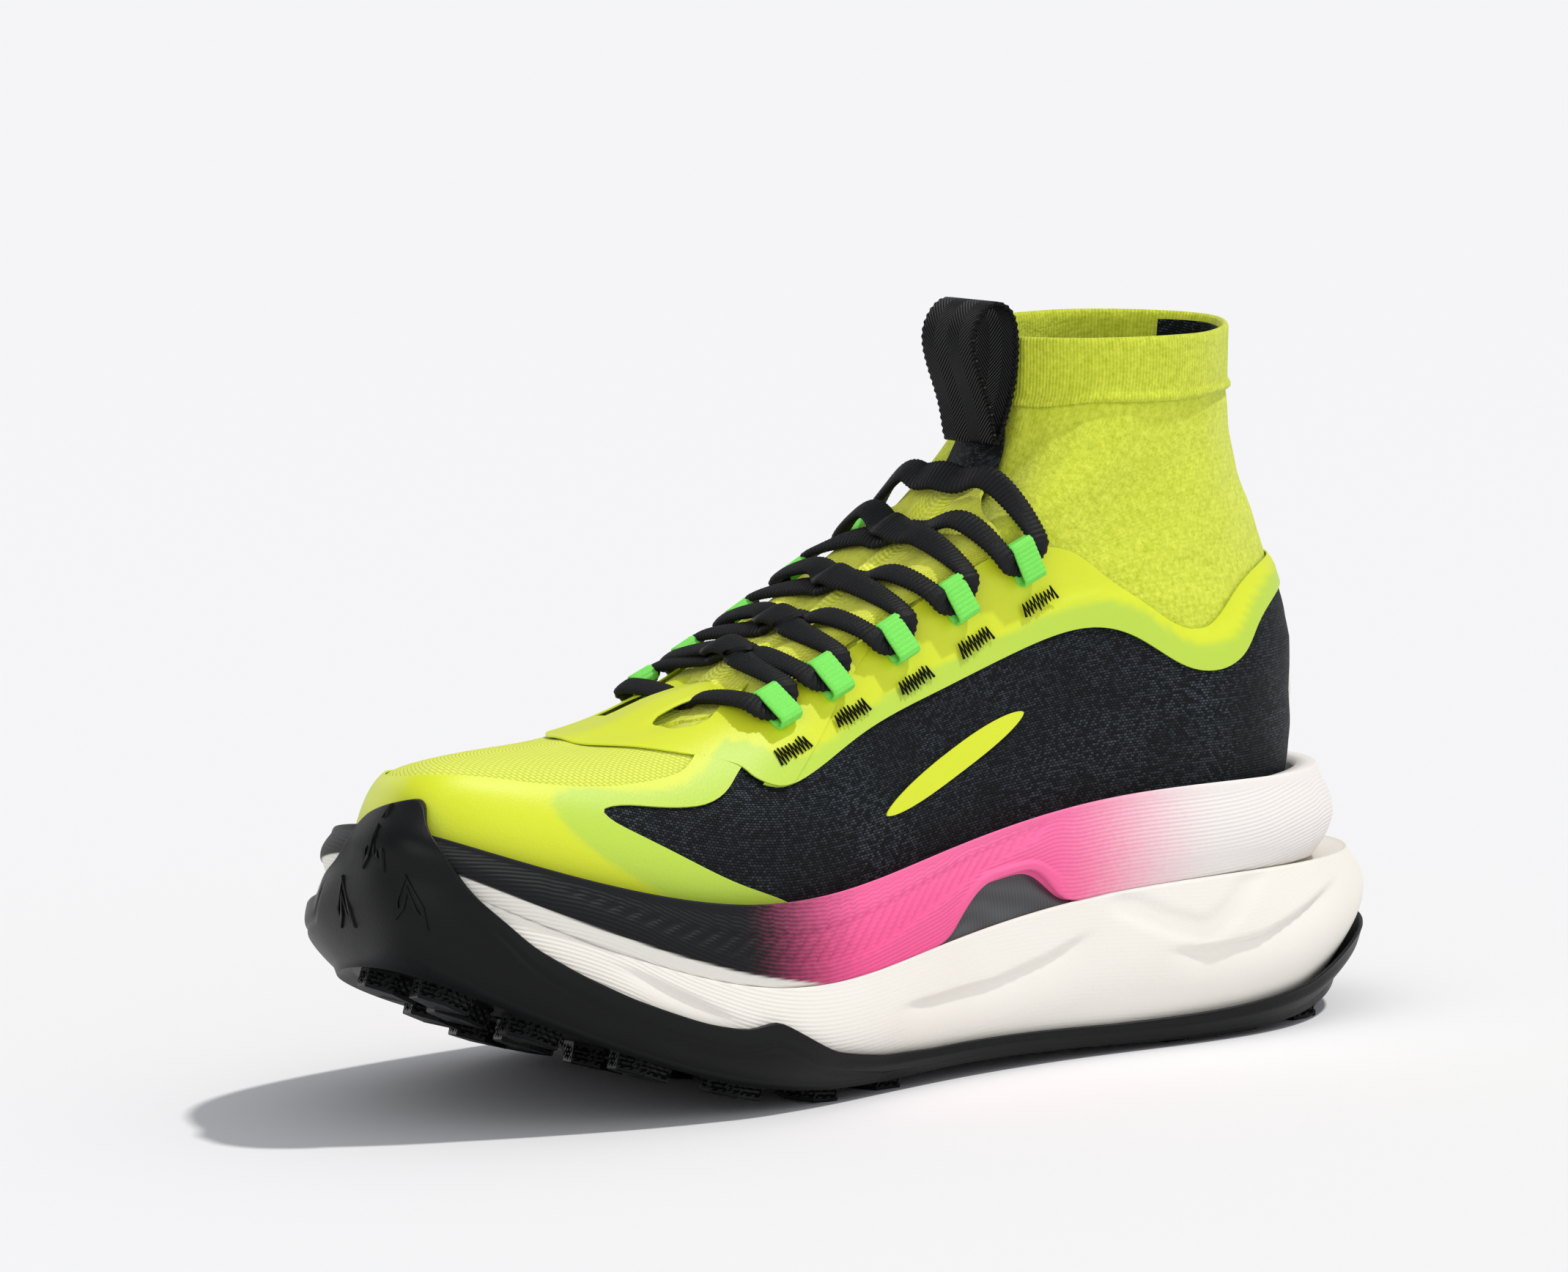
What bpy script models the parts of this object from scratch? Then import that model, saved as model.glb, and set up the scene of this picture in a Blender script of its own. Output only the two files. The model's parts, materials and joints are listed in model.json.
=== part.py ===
"""A right trail-running shoe with a knitted ankle collar, as the separate pieces it is made of.

The toe points to -X, the inner (medial) side faces -Y and +Z is up. The origin is on the ground
under the middle of the shoe. Run it with: blender --background --python part.py

Three cages of hand-placed points give the shoe its form. Each row is a ring round the shoe and
each column a meridian, counted 0 at the toe tip, 3 at the inner waist, 6 at the back of the heel
and 9 at the outer waist. A smooth surface runs through the points. Pieces are strips of those
surfaces, given as a range of meridians u and of heights v, and lie above each other in layers.
"""
import math

import bmesh
import bpy
import numpy as np

MM = 0.001
ORIGIN = np.array([-0.41, -0.78, 0.0])  # where the cages' zero lies in the shoe's own frame, mm

# ---------------------------------------------------------------- driving sizes, mm
RUBBER_GAP, RUBBER_SKIN = 1.1, 2.0  # how far the rubber stands off the foam, and its thickness
RUBBER_SOLE, RUBBER_DROP = 1.8, 0.4  # thickness under the foot, and the glue line above it
LUG_HEIGHT = 5.0
FOAM_GAP = 0.25                     # half the glue line between the two foams
PLATE_POCKET, PLATE_THICK = 2.0, 1.1
PLATE_REST = 0.5                    # how far above the joint's middle the plates' lower face lies
BOARD_THICK, INSOLE_THICK = 1.2, 4.5
CUP_CLEAR = 2.5                     # from the upper's cage out to the foam cup's inner wall
FLOOR_DROP, CUP_DIP = 2.4, 1.5      # the cup's floor under the upper's lowest ring, and its sag
CLOTH = 1.0                         # woven quarters, vamp and tongue
FILM_LIFT, FILM = 1.6, 0.6          # moulded film overlay: height above the cage, thickness
SOCK_LIFT, SOCK = -1.5, 1.0         # knitted sock, inside the cage
TRIM_LIFT = 2.8                     # what is sewn on top of the film
LACE_NARROW, LACE_WIDE, LACE_THICK = 4.6, 6.4, 1.4  # its width in the loops, and half way between
TURN = 5.8                          # radius of the lace's turn through a loop
LOOP_LONG, LOOP_WIDE, LOOP_HIGH, LOOP_WEB = 6.6, 11.6, 4.2, 0.8
LACE_LIFT = TRIM_LIFT + LOOP_HIGH / 2
TACK = (12.0, 3.4, 0.8)             # bar tack: length, width, height
PULL_WIDE, PULL_WEB = 19.0, 1.3     # webbing of the pull loop

# ---------------------------------------------------------------- cages, mm
# meridians: toe tip, big toe, ball, waist front, waist rear, heel, heel back, then the outer side
LOWER_FOAM = [
    [(-147, -9, 40), (-134, -31, 34), (-76, -50, 11), (-14, -44, 6), (45, -41, 5), (108, -39, 6),
     (144, 0, 14), (108, 39, 6), (45, 44, 5), (-10, 50, 6), (-66, 51, 10), (-126, 30, 30)],
    [(-152, -9, 52), (-140, -34, 46), (-77, -54, 19), (-14, -47, 17), (45, -45, 19), (110, -45, 22),
     (157, 0, 28), (110, 45, 22), (45, 49, 19), (-10, 54, 17), (-66, 55, 18), (-132, 34, 40)],
    [(-152, -9, 61), (-141, -33, 56), (-77, -52, 31), (-14, -46, 32), (45, -43, 39), (109, -41, 40),
     (152, 0, 38), (109, 41, 40), (45, 46, 38), (-10, 51, 31), (-66, 53, 29), (-131, 31, 50)],
]
UPPER_FOAM = [
    [(-152, -9, 61), (-141, -33, 56), (-77, -52, 31), (-14, -46, 32), (45, -43, 39), (105, -40, 40),
     (139, 0, 38), (105, 40, 40), (45, 46, 38), (-10, 51, 31), (-66, 52, 29), (-131, 31, 50)],
    [(-152, -9, 66), (-141, -34, 62), (-77, -52, 40), (-14, -47, 45), (45, -44, 50), (105, -43, 50),
     (146, 0, 48), (105, 43, 49), (45, 46, 46), (-10, 51, 40), (-66, 52, 38), (-132, 31, 56)],
    [(-150, -9, 70), (-138, -32, 66), (-76, -49, 49), (-14, -46, 54), (45, -43, 62), (104, -40, 62),
     (139, 0, 60), (104, 40, 59), (45, 44, 55), (-10, 48, 49), (-66, 49, 46), (-129, 29, 61)],
]
UPPER = [
    [(-142, -9, 60), (-130, -27, 56), (-73, -41, 37), (-12, -38, 39), (45, -35, 44), (99, -31, 44),
     (126, 0, 44), (99, 31, 44), (45, 36, 43), (-10, 40, 38), (-63, 40, 36), (-121, 23, 52)],
    [(-145, -9, 66), (-133, -28, 62), (-74, -43, 46), (-12, -40, 50), (45, -37, 58), (100, -34, 60),
     (130, 0, 60), (100, 34, 57), (45, 38, 52), (-10, 42, 46), (-64, 43, 43), (-124, 25, 58)],
    [(-143, -9, 76), (-130, -27, 73), (-71, -43, 59), (-9, -39, 64), (46, -38, 72), (100, -35, 74),
     (134, 0, 72), (100, 35, 70), (47, 38, 66), (-8, 40, 60), (-61, 42, 56), (-121, 23, 69)],
    [(-132, -8, 82), (-119, -22, 80), (-62, -36, 73), (-3, -34, 80), (48, -35, 87), (99, -34, 90),
     (134, 0, 90), (99, 34, 86), (49, 35, 82), (-2, 36, 76), (-53, 37, 70), (-112, 18, 77)],
    [(-99, -6, 83), (-92, -16, 82), (-46, -28, 86), (8, -29, 97), (54, -32, 104), (98, -30, 106),
     (129, 0, 106), (98, 31, 104), (55, 32, 100), (8, 30, 94), (-40, 28, 84), (-86, 12, 81)],
    [(-50, -3, 89), (-47, -11, 90), (-16, -22, 104), (24, -26, 114), (62, -29, 120), (97, -26, 122),
     (124, 0, 122), (97, 28, 121), (62, 29, 118), (24, 27, 113), (-14, 22, 102), (-43, 8, 89)],
    [(12, 0, 114), (13, -9, 115), (26, -20, 126), (46, -26, 133), (72, -27, 136), (98, -23, 138),
     (118, 1, 138), (98, 25, 138), (72, 28, 136), (46, 26, 132), (26, 20, 125), (13, 8, 114)],
    [(41, 1, 142), (43, -9, 143), (51, -19, 149), (63, -25, 152), (79, -27, 153), (99, -21, 154),
     (115, 1, 154), (99, 24, 154), (79, 28, 153), (63, 26, 152), (51, 20, 149), (43, 10, 143)],
    [(45, 1, 169), (47, -9, 169), (54, -19, 169), (65, -25, 169), (80, -27, 169), (99, -21, 169),
     (116, 1, 170), (99, 23, 171), (80, 28, 171), (65, 26, 171), (54, 20, 171), (47, 10, 170)],
]
MERIDIANS = 12
TUCK = -0.16  # v of the upper's lowest ring, tucked inside the foam cup; 0 is at the cup's rim
UPPER_V = [TUCK, *np.linspace(0, 1, len(UPPER) - 1)]

# heights along the shoe, mm: (x, z)
TREAD_LINE = [(-150, 42), (-130, 32), (-105, 21), (-76, 11.5), (-45, 7), (-10, 6), (45, 5), (100, 5.5),
              (130, 9.5), (150, 18)]
GLUE_LINE = [(-152, 58), (-140, 51), (-131, 47), (-110, 39), (-77, 31), (-45, 29.5), (-12, 31.5), (20, 36),
             (45, 38.5), (105, 39), (139, 37.5), (157, 34)]
GLUE_DIP = [(-150, 1), (-110, 3), (-77, 5), (45, 7), (110, 8), (157, 2)]  # how far the joint sags at the middle
MIDDLE_LINE = [(-110, -4), (-75, 0), (-12, 3), (45, 2.5), (105, 0)]  # (x, y)
SPINE = (-100, 100)  # the middle line's ends

# edges of the upper's pieces on the inner side: (u, v). The outer side mirrors them.
FILM_LOW = [(0, 0.47), (1.0, 0.46), (1.65, 0.385), (1.93, 0.33), (2.15, 0.278), (2.35, 0.31), (2.93, 0.375),
            (3.5, 0.41), (3.9, 0.41), (4.35, 0.333), (4.65, 0.28), (4.88, 0.30), (5.1, 0.37), (6, 0.44)]
FILM_HIGH = [(0, 0.53), (1.0, 0.52), (1.58, 0.468), (1.8, 0.485), (2.23, 0.55), (2.45, 0.60), (2.75, 0.637),
             (3.1, 0.63), (3.53, 0.583), (3.9, 0.508), (4.3, 0.417), (4.6, 0.372), (4.9, 0.47), (5.3, 0.51),
             (6, 0.51)]
TOE_FILM_HIGH = [(0, 0.20), (0.9, 0.242), (1.4, 0.25), (1.55, 0.175), (1.78, 0.133), (2.02, 0.085),
                 (2.3, 0.03)]
RUBBER_HIGH = [(0, 0.80), (0.35, 0.86), (0.52, 0.85), (0.62, 0.80), (0.78, 0.60), (0.95, 0.45),
               (1.12, 0.26), (1.35, 0.20), (1.9, 0.18), (2.12, 0.20), (2.4, 0.12), (3.0, 0.05), (6, 0.06)]
RUBBER_OUTER = [(6, 0.06), (9.0, 0.05), (9.6, 0.12), (9.88, 0.20), (10.1, 0.18), (10.65, 0.20),
                (11.0, 0.25), (11.4, 0.34), (11.7, 0.50), (12, 0.80)]  # the toe's wrap is not symmetric
LACE_LOOPS = [(1.93, 0.450), (2.12, 0.483), (2.40, 0.517), (2.65, 0.562), (3.00, 0.604)]
TACKS = [(2.15, 0.350), (2.40, 0.396), (2.73, 0.417), (3.05, 0.450), (3.40, 0.496)]


# ---------------------------------------------------------------- smooth surfaces through the cages
def spline_weights(knots, places):
    """Each knot's share of a natural cubic spline at each place, as a matrix."""
    knots = np.asarray(knots, float)
    places = np.asarray(places, float).ravel()
    step, count = np.diff(knots), len(knots)
    left, right = np.eye(count), np.zeros((count, count))
    for i in range(1, count - 1):
        left[i, i - 1:i + 2] = step[i - 1], 2 * (step[i - 1] + step[i]), step[i]
        right[i, i - 1:i + 2] = 6 / step[i - 1], -6 / step[i - 1] - 6 / step[i], 6 / step[i]
    bend = np.linalg.solve(left, right)
    span = np.clip(np.searchsorted(knots, places, side="right") - 1, 0, count - 2)
    a = (knots[span + 1] - places) / step[span]
    b = 1 - a
    weights = np.zeros((len(places), count))
    rows = np.arange(len(places))
    weights[rows, span] += a
    weights[rows, span + 1] += b
    weights += ((a**3 - a) * step[span]**2 / 6)[:, None] * bend[span]
    weights += ((b**3 - b) * step[span]**2 / 6)[:, None] * bend[span + 1]
    return weights


def ring_weights(places):
    """The same round the shoe, where meridian 12 is meridian 0 again."""
    wide = spline_weights(np.arange(-4, MERIDIANS + 5), np.mod(places, MERIDIANS))
    weights = np.zeros((len(wide), MERIDIANS))
    for column, meridian in enumerate(range(-4, MERIDIANS + 5)):
        weights[:, meridian % MERIDIANS] += wide[:, column]
    return weights


class Surface:
    """A smooth closed tube through a cage: u counts meridians, v runs over the rows."""

    def __init__(self, rows, heights=None):
        self.cage = np.array(rows, float)
        self.heights = np.linspace(0, 1, len(rows)) if heights is None else heights

    def at(self, u, v, lift=0.0):
        u, v, lift = np.broadcast_arrays(np.asarray(u, float), v, lift)
        point = self._point(u, v)
        if not np.any(lift):
            return point
        return point + lift[..., None] * self.normal(u, v)

    def _point(self, u, v):
        across, up = ring_weights(np.ravel(u)), spline_weights(self.heights, v)
        return np.einsum("nk,jkc,nj->nc", across, self.cage, up).reshape(np.shape(u) + (3,))

    def normal(self, u, v, near=1e-3):
        along = self._point(u + near, v) - self._point(u - near, v)
        up = self._point(u, v + near) - self._point(u, v - near)
        out = np.cross(along, up)
        return out / np.linalg.norm(out, axis=-1, keepdims=True)


def curve(points, places):
    """A smooth curve's second coordinate at each place, through hand-placed points."""
    knots, values = zip(*points)
    return (spline_weights(knots, places) @ np.array(values, float)).reshape(np.shape(places))


def both_sides(points, u):
    """A piece's edge round the shoe: the outer side, u from 6 to 12, mirrors the inner one."""
    folded = np.abs(np.mod(np.asarray(u, float) + 6, MERIDIANS) - 6)
    knots, values = zip(*points)
    return np.interp(folded, knots, values)


lower_foam, upper_foam, upper = Surface(LOWER_FOAM), Surface(UPPER_FOAM), Surface(UPPER, UPPER_V)


def rubber_surface():
    """What the rubber lies on, from under the foam's edge up over both foams to the toe of the upper."""
    column = np.arange(float(MERIDIANS))
    rows = [lower_foam.at(column, 0.0), lower_foam.at(column, 0.5),
            (lower_foam.at(column, 1.0) + upper_foam.at(column, 0.0)) / 2,
            upper_foam.at(column, 0.5, 0.4), upper_foam.at(column, 1.0, 0.5),
            upper.at(column, 0.12, FILM_LIFT + FILM), upper.at(column, 0.25, FILM_LIFT + FILM)]
    return Surface(rows)


rubber = rubber_surface()


# ---------------------------------------------------------------- meshes
def material(name, colour, roughness, metallic=0.0):
    made = bpy.data.materials.new(name)
    made.use_nodes = True
    shader = made.node_tree.nodes["Principled BSDF"]
    shader.inputs["Base Color"].default_value = (*colour, 1.0)
    shader.inputs["Roughness"].default_value = roughness
    shader.inputs["Metallic"].default_value = metallic
    return made


def new_object(name, data, finish, collection):
    made = bpy.data.objects.new(name, data)
    data.materials.append(finish)
    collection.objects.link(made)
    return made


def mesh_object(name, points, faces, finish, collection, smooth=True):
    mesh = bpy.data.meshes.new(name)
    mesh.from_pydata(((points + ORIGIN) * MM).tolist(), [], faces)
    if smooth:
        mesh.shade_smooth()
    return new_object(name, mesh, finish, collection)


def grid_faces(rings, columns, closed):
    """Quads between neighbouring rings, facing out when u x v points out."""
    last = columns if closed else columns - 1
    return [(r * columns + c, r * columns + (c + 1) % columns,
             (r + 1) * columns + (c + 1) % columns, (r + 1) * columns + c)
            for r in range(rings - 1) for c in range(last)]


def zipped(columns):
    """The faces that close a ring round the shoe, from each point of the inner side to its outer twin."""
    half = columns // 2
    across = [(i, i + 1, columns - 1 - i, columns - i) for i in range(1, half - 1)]
    return [(0, 1, columns - 1), *across, (half - 1, half, half + 1)]


def ring_solid(name, rings, finish, collection):
    """A closed solid lofted through rings, from a small one below, out, up and in to a small one above."""
    columns = len(rings[0])
    faces = grid_faces(len(rings), columns, closed=True)
    faces += [tuple(reversed(face)) for face in zipped(columns)]
    last = (len(rings) - 1) * columns
    faces += [tuple(last + corner for corner in face) for face in zipped(columns)]
    return mesh_object(name, np.concatenate(rings), faces, finish, collection)


def tube_solid(name, sections, finish, collection):
    """A closed hoop lofted through sections that return to the first one."""
    columns = len(sections[0])
    faces = grid_faces(len(sections), columns, closed=True)
    last = (len(sections) - 1) * columns
    faces += [(last + c, last + (c + 1) % columns, (c + 1) % columns, c) for c in range(columns)]
    made = mesh_object(name, np.concatenate(sections), faces, finish, collection)
    solid = bmesh.new()
    solid.from_mesh(made.data)
    bmesh.ops.recalc_face_normals(solid, faces=solid.faces)
    solid.to_mesh(made.data)
    solid.free()
    return made


def panel(name, u, low, high, rows, lift, thickness, finish, collection, surface=None, closed=False):
    """A shell between two edges low(u) and high(u) of a surface, thickened outwards by Solidify."""
    share = np.linspace(0, 1, rows + 1)[:, None]
    v = low[None, :] * (1 - share) + high[None, :] * share
    points = (surface or upper).at(np.broadcast_to(u, v.shape), v, lift)
    made = mesh_object(name, points.reshape(-1, 3), grid_faces(rows + 1, len(u), closed), finish, collection)
    thicken = made.modifiers.new("thickness", "SOLIDIFY")
    thicken.thickness = thickness * MM
    thicken.offset = 1.0
    return made


def spaced(start, end, count):
    return np.linspace(start, end, count)


def inwards(ring, share):
    """A ring pulled towards the shoe's middle line, share 1 leaving it where it is."""
    x = np.clip(ring[:, 0], *SPINE)
    middle = np.stack([x, curve(MIDDLE_LINE, x)], axis=1)
    return middle + share * (ring[:, :2] - middle)


def level(plan, height):
    return np.column_stack([plan, np.broadcast_to(height, len(plan))])


# ---------------------------------------------------------------- sole
AROUND = 56  # points round each ring of the sole
ROUND = np.arange(AROUND) * MERIDIANS / AROUND
SMALLEST = 0.3  # share of the innermost ring, which is closed straight across
TREAD_SHARES = (SMALLEST, 0.7, 0.93)
CUP_SHARES = (SMALLEST, 0.6, 0.95)


def tread_ring(edge, share, drop):
    """A ring under the foam: the tread line's height, and the edge's own where it meets the edge."""
    plan = inwards(edge, share)
    rise = edge[:, 2] - curve(TREAD_LINE, edge[:, 0])
    return level(plan, curve(TREAD_LINE, plan[:, 0]) + rise * share**4 - drop)


def glue_ring(edge, share, drop=0.0):
    """A ring of the joint between the two foams, which sags towards the middle."""
    plan = inwards(edge, share)
    share = np.ravel(share)
    rise = edge[:, 2] - curve(GLUE_LINE, edge[:, 0])
    sag = curve(GLUE_DIP, plan[:, 0]) * (1 - np.maximum(share, SMALLEST)**2)
    return level(plan, curve(GLUE_LINE, plan[:, 0]) + rise * share**6 - sag - drop)


def lower_midsole(finish, collection):
    edge, seam = lower_foam.at(ROUND, 0.0), lower_foam.at(ROUND, 1.0)
    rings = [tread_ring(edge, share, 0.0) for share in TREAD_SHARES]
    rings += [lower_foam.at(ROUND, v) for v in (0.0, 0.25, 0.5, 0.75)]
    rings += [glue_ring(seam, share, FOAM_GAP) for share in (1.0, 0.94, 0.82, 0.6, SMALLEST)]
    return ring_solid("midsole_lower", rings, finish, collection)


def window_lift(u):
    """The arch opening on the inner side: how far the upper foam's lower edge lifts to show the plate."""
    return 11.0 * np.exp(-((u - 3.43) / 0.27)**4)


def upper_midsole(finish, collection):
    seam = upper_foam.at(ROUND, 0.0)
    window = window_lift(ROUND)
    rings = []
    for share in (SMALLEST, 0.6, 0.82, 0.88, 0.95, 1.0):
        ring = glue_ring(seam, share, -FOAM_GAP)
        reach = np.clip((ring[:, 0] + 124) / 5, 0, 1) * np.clip((118 - ring[:, 0]) / 5, 0, 1)
        pocket = np.clip((0.88 - share) / 0.06, 0, 1) * PLATE_POCKET * reach
        opening = window * np.clip((share - 0.88) / 0.07, 0, 1)
        ring[:, 2] += np.maximum(pocket, opening)
        rings.append(ring)
    for v in (0.35, 0.7, 1.0):
        ring = upper_foam.at(ROUND, v)
        ring[:, 2] += window * (1 - v) ** 1.5
        rings.append(ring)
    rings.append(upper.at(ROUND, 0.0, CUP_CLEAR))
    rings.append(upper.at(ROUND, TUCK / 2, CUP_CLEAR))
    floor = upper.at(ROUND, TUCK, CUP_CLEAR)
    rings.append(floor - [0, 0, FLOOR_DROP])
    rings += [cup_floor(floor, share) for share in reversed(CUP_SHARES)]
    return ring_solid("midsole_upper", rings, finish, collection)


def cup_floor(edge, share, lift=0.0):
    """A ring of the foam cup's floor, which is a little lower under the middle of the foot."""
    plan = inwards(edge, share)
    height = edge[:, 2] - FLOOR_DROP
    along = np.interp(plan[:, 0], *floor_line())
    return level(plan, height * share**4 + along * (1 - share**4) - CUP_DIP * (1 - share**2) + lift)


def floor_line():
    """The cup floor's height along the shoe: the mean of its inner and outer edge."""
    side = upper.at(spaced(0, 6, 40), TUCK)
    other = upper.at(12 - spaced(0, 6, 40), TUCK)
    mean = (side + other) / 2
    return mean[:, 0], mean[:, 2] - FLOOR_DROP


def flat_layer(name, inset, base, thickness, finish, collection):
    """The lasting board or the insole: a sheet on the cup's floor, base above it."""
    edge = upper.at(ROUND, TUCK, inset)
    rings = [cup_floor(edge, share, base) for share in CUP_SHARES]
    rings += [cup_floor(edge, 1.0, base + thickness * 0.3), cup_floor(edge, 1.0, base + thickness * 0.8)]
    rings += [cup_floor(edge, share, base + thickness) for share in reversed(CUP_SHARES)]
    return ring_solid(name, rings, finish, collection)


def outsole(finish, collection, tools):
    """The rubber: a skin under the foam with a lip round its edge that climbs over the toe, and lugs."""
    high = np.where(ROUND < 6, both_sides(RUBBER_HIGH, ROUND), np.interp(ROUND, *zip(*RUBBER_OUTER)))
    inner, outer = RUBBER_GAP, RUBBER_GAP + RUBBER_SKIN
    edge = lower_foam.at(ROUND, 0.0)
    under = RUBBER_DROP + RUBBER_SOLE
    climb = (0.15, 0.3, 0.45, 0.61, 0.775, 0.9, 1.0)  # one of them passes the foam's rim at the toe
    rings = [tread_ring(edge, share, under) for share in TREAD_SHARES]
    rings.append(rubber.at(ROUND, 0.0, outer) - [0, 0, under * 0.6])
    rings += [rubber.at(ROUND, high * share, outer) for share in climb]
    rings += [rubber.at(ROUND, high * share, inner) for share in reversed(climb)]
    rings.append(rubber.at(ROUND, 0.0, inner) - [0, 0, RUBBER_DROP])
    rings += [tread_ring(edge, share, RUBBER_DROP) for share in reversed(TREAD_SHARES)]
    skin = ring_solid("outsole", rings, finish, collection)
    add_boolean(skin, "DIFFERENCE", joined("windows", tread_windows(), finish, tools))
    add_boolean(skin, "UNION", joined("lugs", lug_blocks(), finish, tools))
    return skin


def add_boolean(target, operation, tool):
    cut = target.modifiers.new(tool.name, "BOOLEAN")
    cut.operation = operation
    cut.object = tool
    tool.hide_render = True
    tool.display_type = "WIRE"


def joined(name, blocks, finish, collection):
    """Several closed blocks, each (points, faces), as one helper object."""
    points, faces = [], []
    for block_points, block_faces in blocks:
        start = sum(len(p) for p in points)
        points.append(block_points)
        faces += [tuple(start + i for i in face) for face in block_faces]
    return mesh_object(name, np.concatenate(points), faces, finish, collection, smooth=False)


def prism(outline, low, high):
    """An upright block over an outline given anticlockwise seen from above; low and high may vary along it."""
    count = len(outline)
    points = np.vstack([level(outline, low), level(outline, high)])
    faces = [tuple(reversed(range(count))), tuple(range(count, 2 * count))]
    faces += [(i, (i + 1) % count, count + (i + 1) % count, count + i) for i in range(count)]
    return points, faces


LUG_ROWS = [  # (x, inner lug y, outer lug y), mm: pairs along the tread
    (-138.5, -18, 2), (-118, -24, 12), (-96, -36, 24), (-74, -42, 36), (-52, -42, 40), (-30, -38, 40), (66, -33, 34),
    (88, -33, 33), (110, -30, 29),
]
MIDDLE_LUGS = [-127, -106, -84, -62, -40, 78, 100]


def chevron(x, y, length, width, sweep):
    """A lug's outline: an arrowhead block whose front and back edges are swept by `sweep`."""
    half, wide = length / 2, width / 2
    return [(x - half, y), (x - half + sweep, y - wide), (x + half + sweep, y - wide),
            (x + half, y), (x + half + sweep, y + wide), (x - half + sweep, y + wide)]


def lug_blocks():
    """Chevron lugs, flat on the ground from the ball to the heel and following the tread up at both ends."""
    spots = [(x, y) for x, inner, outer in LUG_ROWS for y in (inner, outer)]
    spots += [(x, float(curve(MIDDLE_LINE, x)) - 3) for x in MIDDLE_LUGS]
    blocks = []
    for x, y in spots:
        outline = np.array(chevron(x, y, 8.0, 15.0, 3.5))
        skin = curve(TREAD_LINE, outline[:, 0]) - RUBBER_DROP - RUBBER_SOLE
        blocks.append(prism(outline, np.maximum(skin - LUG_HEIGHT, 0), skin + 0.8))
    return blocks


def tread_windows():
    """Openings in the rubber that show the foam, between the lugs."""
    spots = [(-101, -6, 20, 7), (-79, -4, 22, 7), (-57, -1, 22, 7), (0, 3, 46, 22), (89, 0, 7, 10)]
    return [prism([(x - a / 2, y), (x, y - b / 2), (x + a / 2, y), (x, y + b / 2)], -20, 60)
            for x, y, a, b in spots]


def plate(name, side, finish, collection):
    """One of the two long plates that lie in the pocket between the foams, either side of the middle."""
    u = spaced(1.35, 4.85, 22)
    width = curve([(1.35, 0.42), (1.9, 0.6), (4.3, 0.6), (4.85, 0.42)], u)
    seam = upper_foam.at(u if side < 0 else MERIDIANS - u, 0.0)
    rows = [glue_ring(seam, share, -PLATE_REST) for share in (0.04, SMALLEST, width[:, None])]
    rows = rows if side < 0 else [row[::-1] for row in rows]
    faces = [tuple(reversed(face)) for face in grid_faces(len(rows), len(u), closed=False)]
    made = mesh_object(name, np.concatenate(rows), faces, finish, collection)
    thicken = made.modifiers.new("thickness", "SOLIDIFY")
    thicken.thickness = PLATE_THICK * MM
    thicken.offset = 1.0
    return made


def plate_wing(finish, collection):
    """The upturned wing of the inner plate, seen through the arch opening."""
    u = spaced(3.26, 3.60, 9)
    seam = upper_foam.at(u, 0.0)
    plan = inwards(seam, 0.99)
    foot = glue_ring(seam, 0.99)[:, 2] + 0.3
    top = foot + 0.8 * window_lift(u) - 0.8
    share = np.array([0.0, 0.5, 1.0])[:, None]
    z = foot + share * np.maximum(top - foot, 1.5)
    points = np.stack([np.broadcast_to(plan[:, 0], z.shape), np.broadcast_to(plan[:, 1], z.shape), z], axis=-1)
    made = mesh_object("plate_wing", points.reshape(-1, 3), grid_faces(3, len(u), False), finish, collection)
    thicken = made.modifiers.new("thickness", "SOLIDIFY")
    thicken.thickness = PLATE_THICK * MM
    thicken.offset = 0.0
    return made


# ---------------------------------------------------------------- lace, loops and pull loop
def v_at(u, x):
    """The height v at which meridian u of the upper passes a place x along the shoe."""
    v = spaced(0.2, 1.0, 81)
    return float(np.interp(x, upper.at(np.full_like(v, u), v)[:, 0], v))


def side_of(u, side):
    return u if side < 0 else MERIDIANS - u


def loop_frame(row, side):
    """A lace loop's centre on the cage, and its directions along the throat, across it and out."""
    spots = [upper.at(side_of(u, side), v) for u, v in LACE_LOOPS]
    ahead = spots[min(row + 1, 4)] - spots[max(row - 1, 0)]
    u, v = LACE_LOOPS[row]
    out = upper.normal(np.array(side_of(u, side)), np.array(v))
    along = ahead - out * (ahead @ out)
    along /= np.linalg.norm(along)
    return spots[row], along, np.cross(out, along), out


def lace_loop(row, side, finish, collection):
    """A short sleeve of ribbed webbing that the lace turns through."""
    centre, along, across, out = loop_frame(row, side)
    outline = bpy.data.curves.new("loop", "CURVE")
    outline.dimensions = "2D"
    outline.fill_mode = "BOTH"
    outline.extrude = LOOP_LONG / 2 * MM
    for inset in (0.0, LOOP_WEB):
        wide, high, round_off = LOOP_WIDE / 2 - inset, LOOP_HIGH / 2 - inset, 1.0 - inset / 2
        corners = [(wide, high - round_off), (wide - round_off, high), (round_off - wide, high),
                   (-wide, high - round_off), (-wide, round_off - high), (round_off - wide, -high),
                   (wide - round_off, -high), (wide, round_off - high)]
        spline = outline.splines.new("POLY")
        spline.points.add(len(corners) - 1)
        spline.points.foreach_set("co", [c * MM for x, y in corners for c in (x, y, 0, 1000)])
        spline.use_cyclic_u = True
    place = (centre + out * (TRIM_LIFT + LOOP_HIGH / 2) + ORIGIN) * MM
    name = f"lace_loop_{'inner' if side < 0 else 'outer'}_{row + 1}"
    made = new_object(name, outline, finish, collection)
    made.matrix_world = frame_matrix(across, out, np.cross(across, out), place)
    return made


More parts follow.
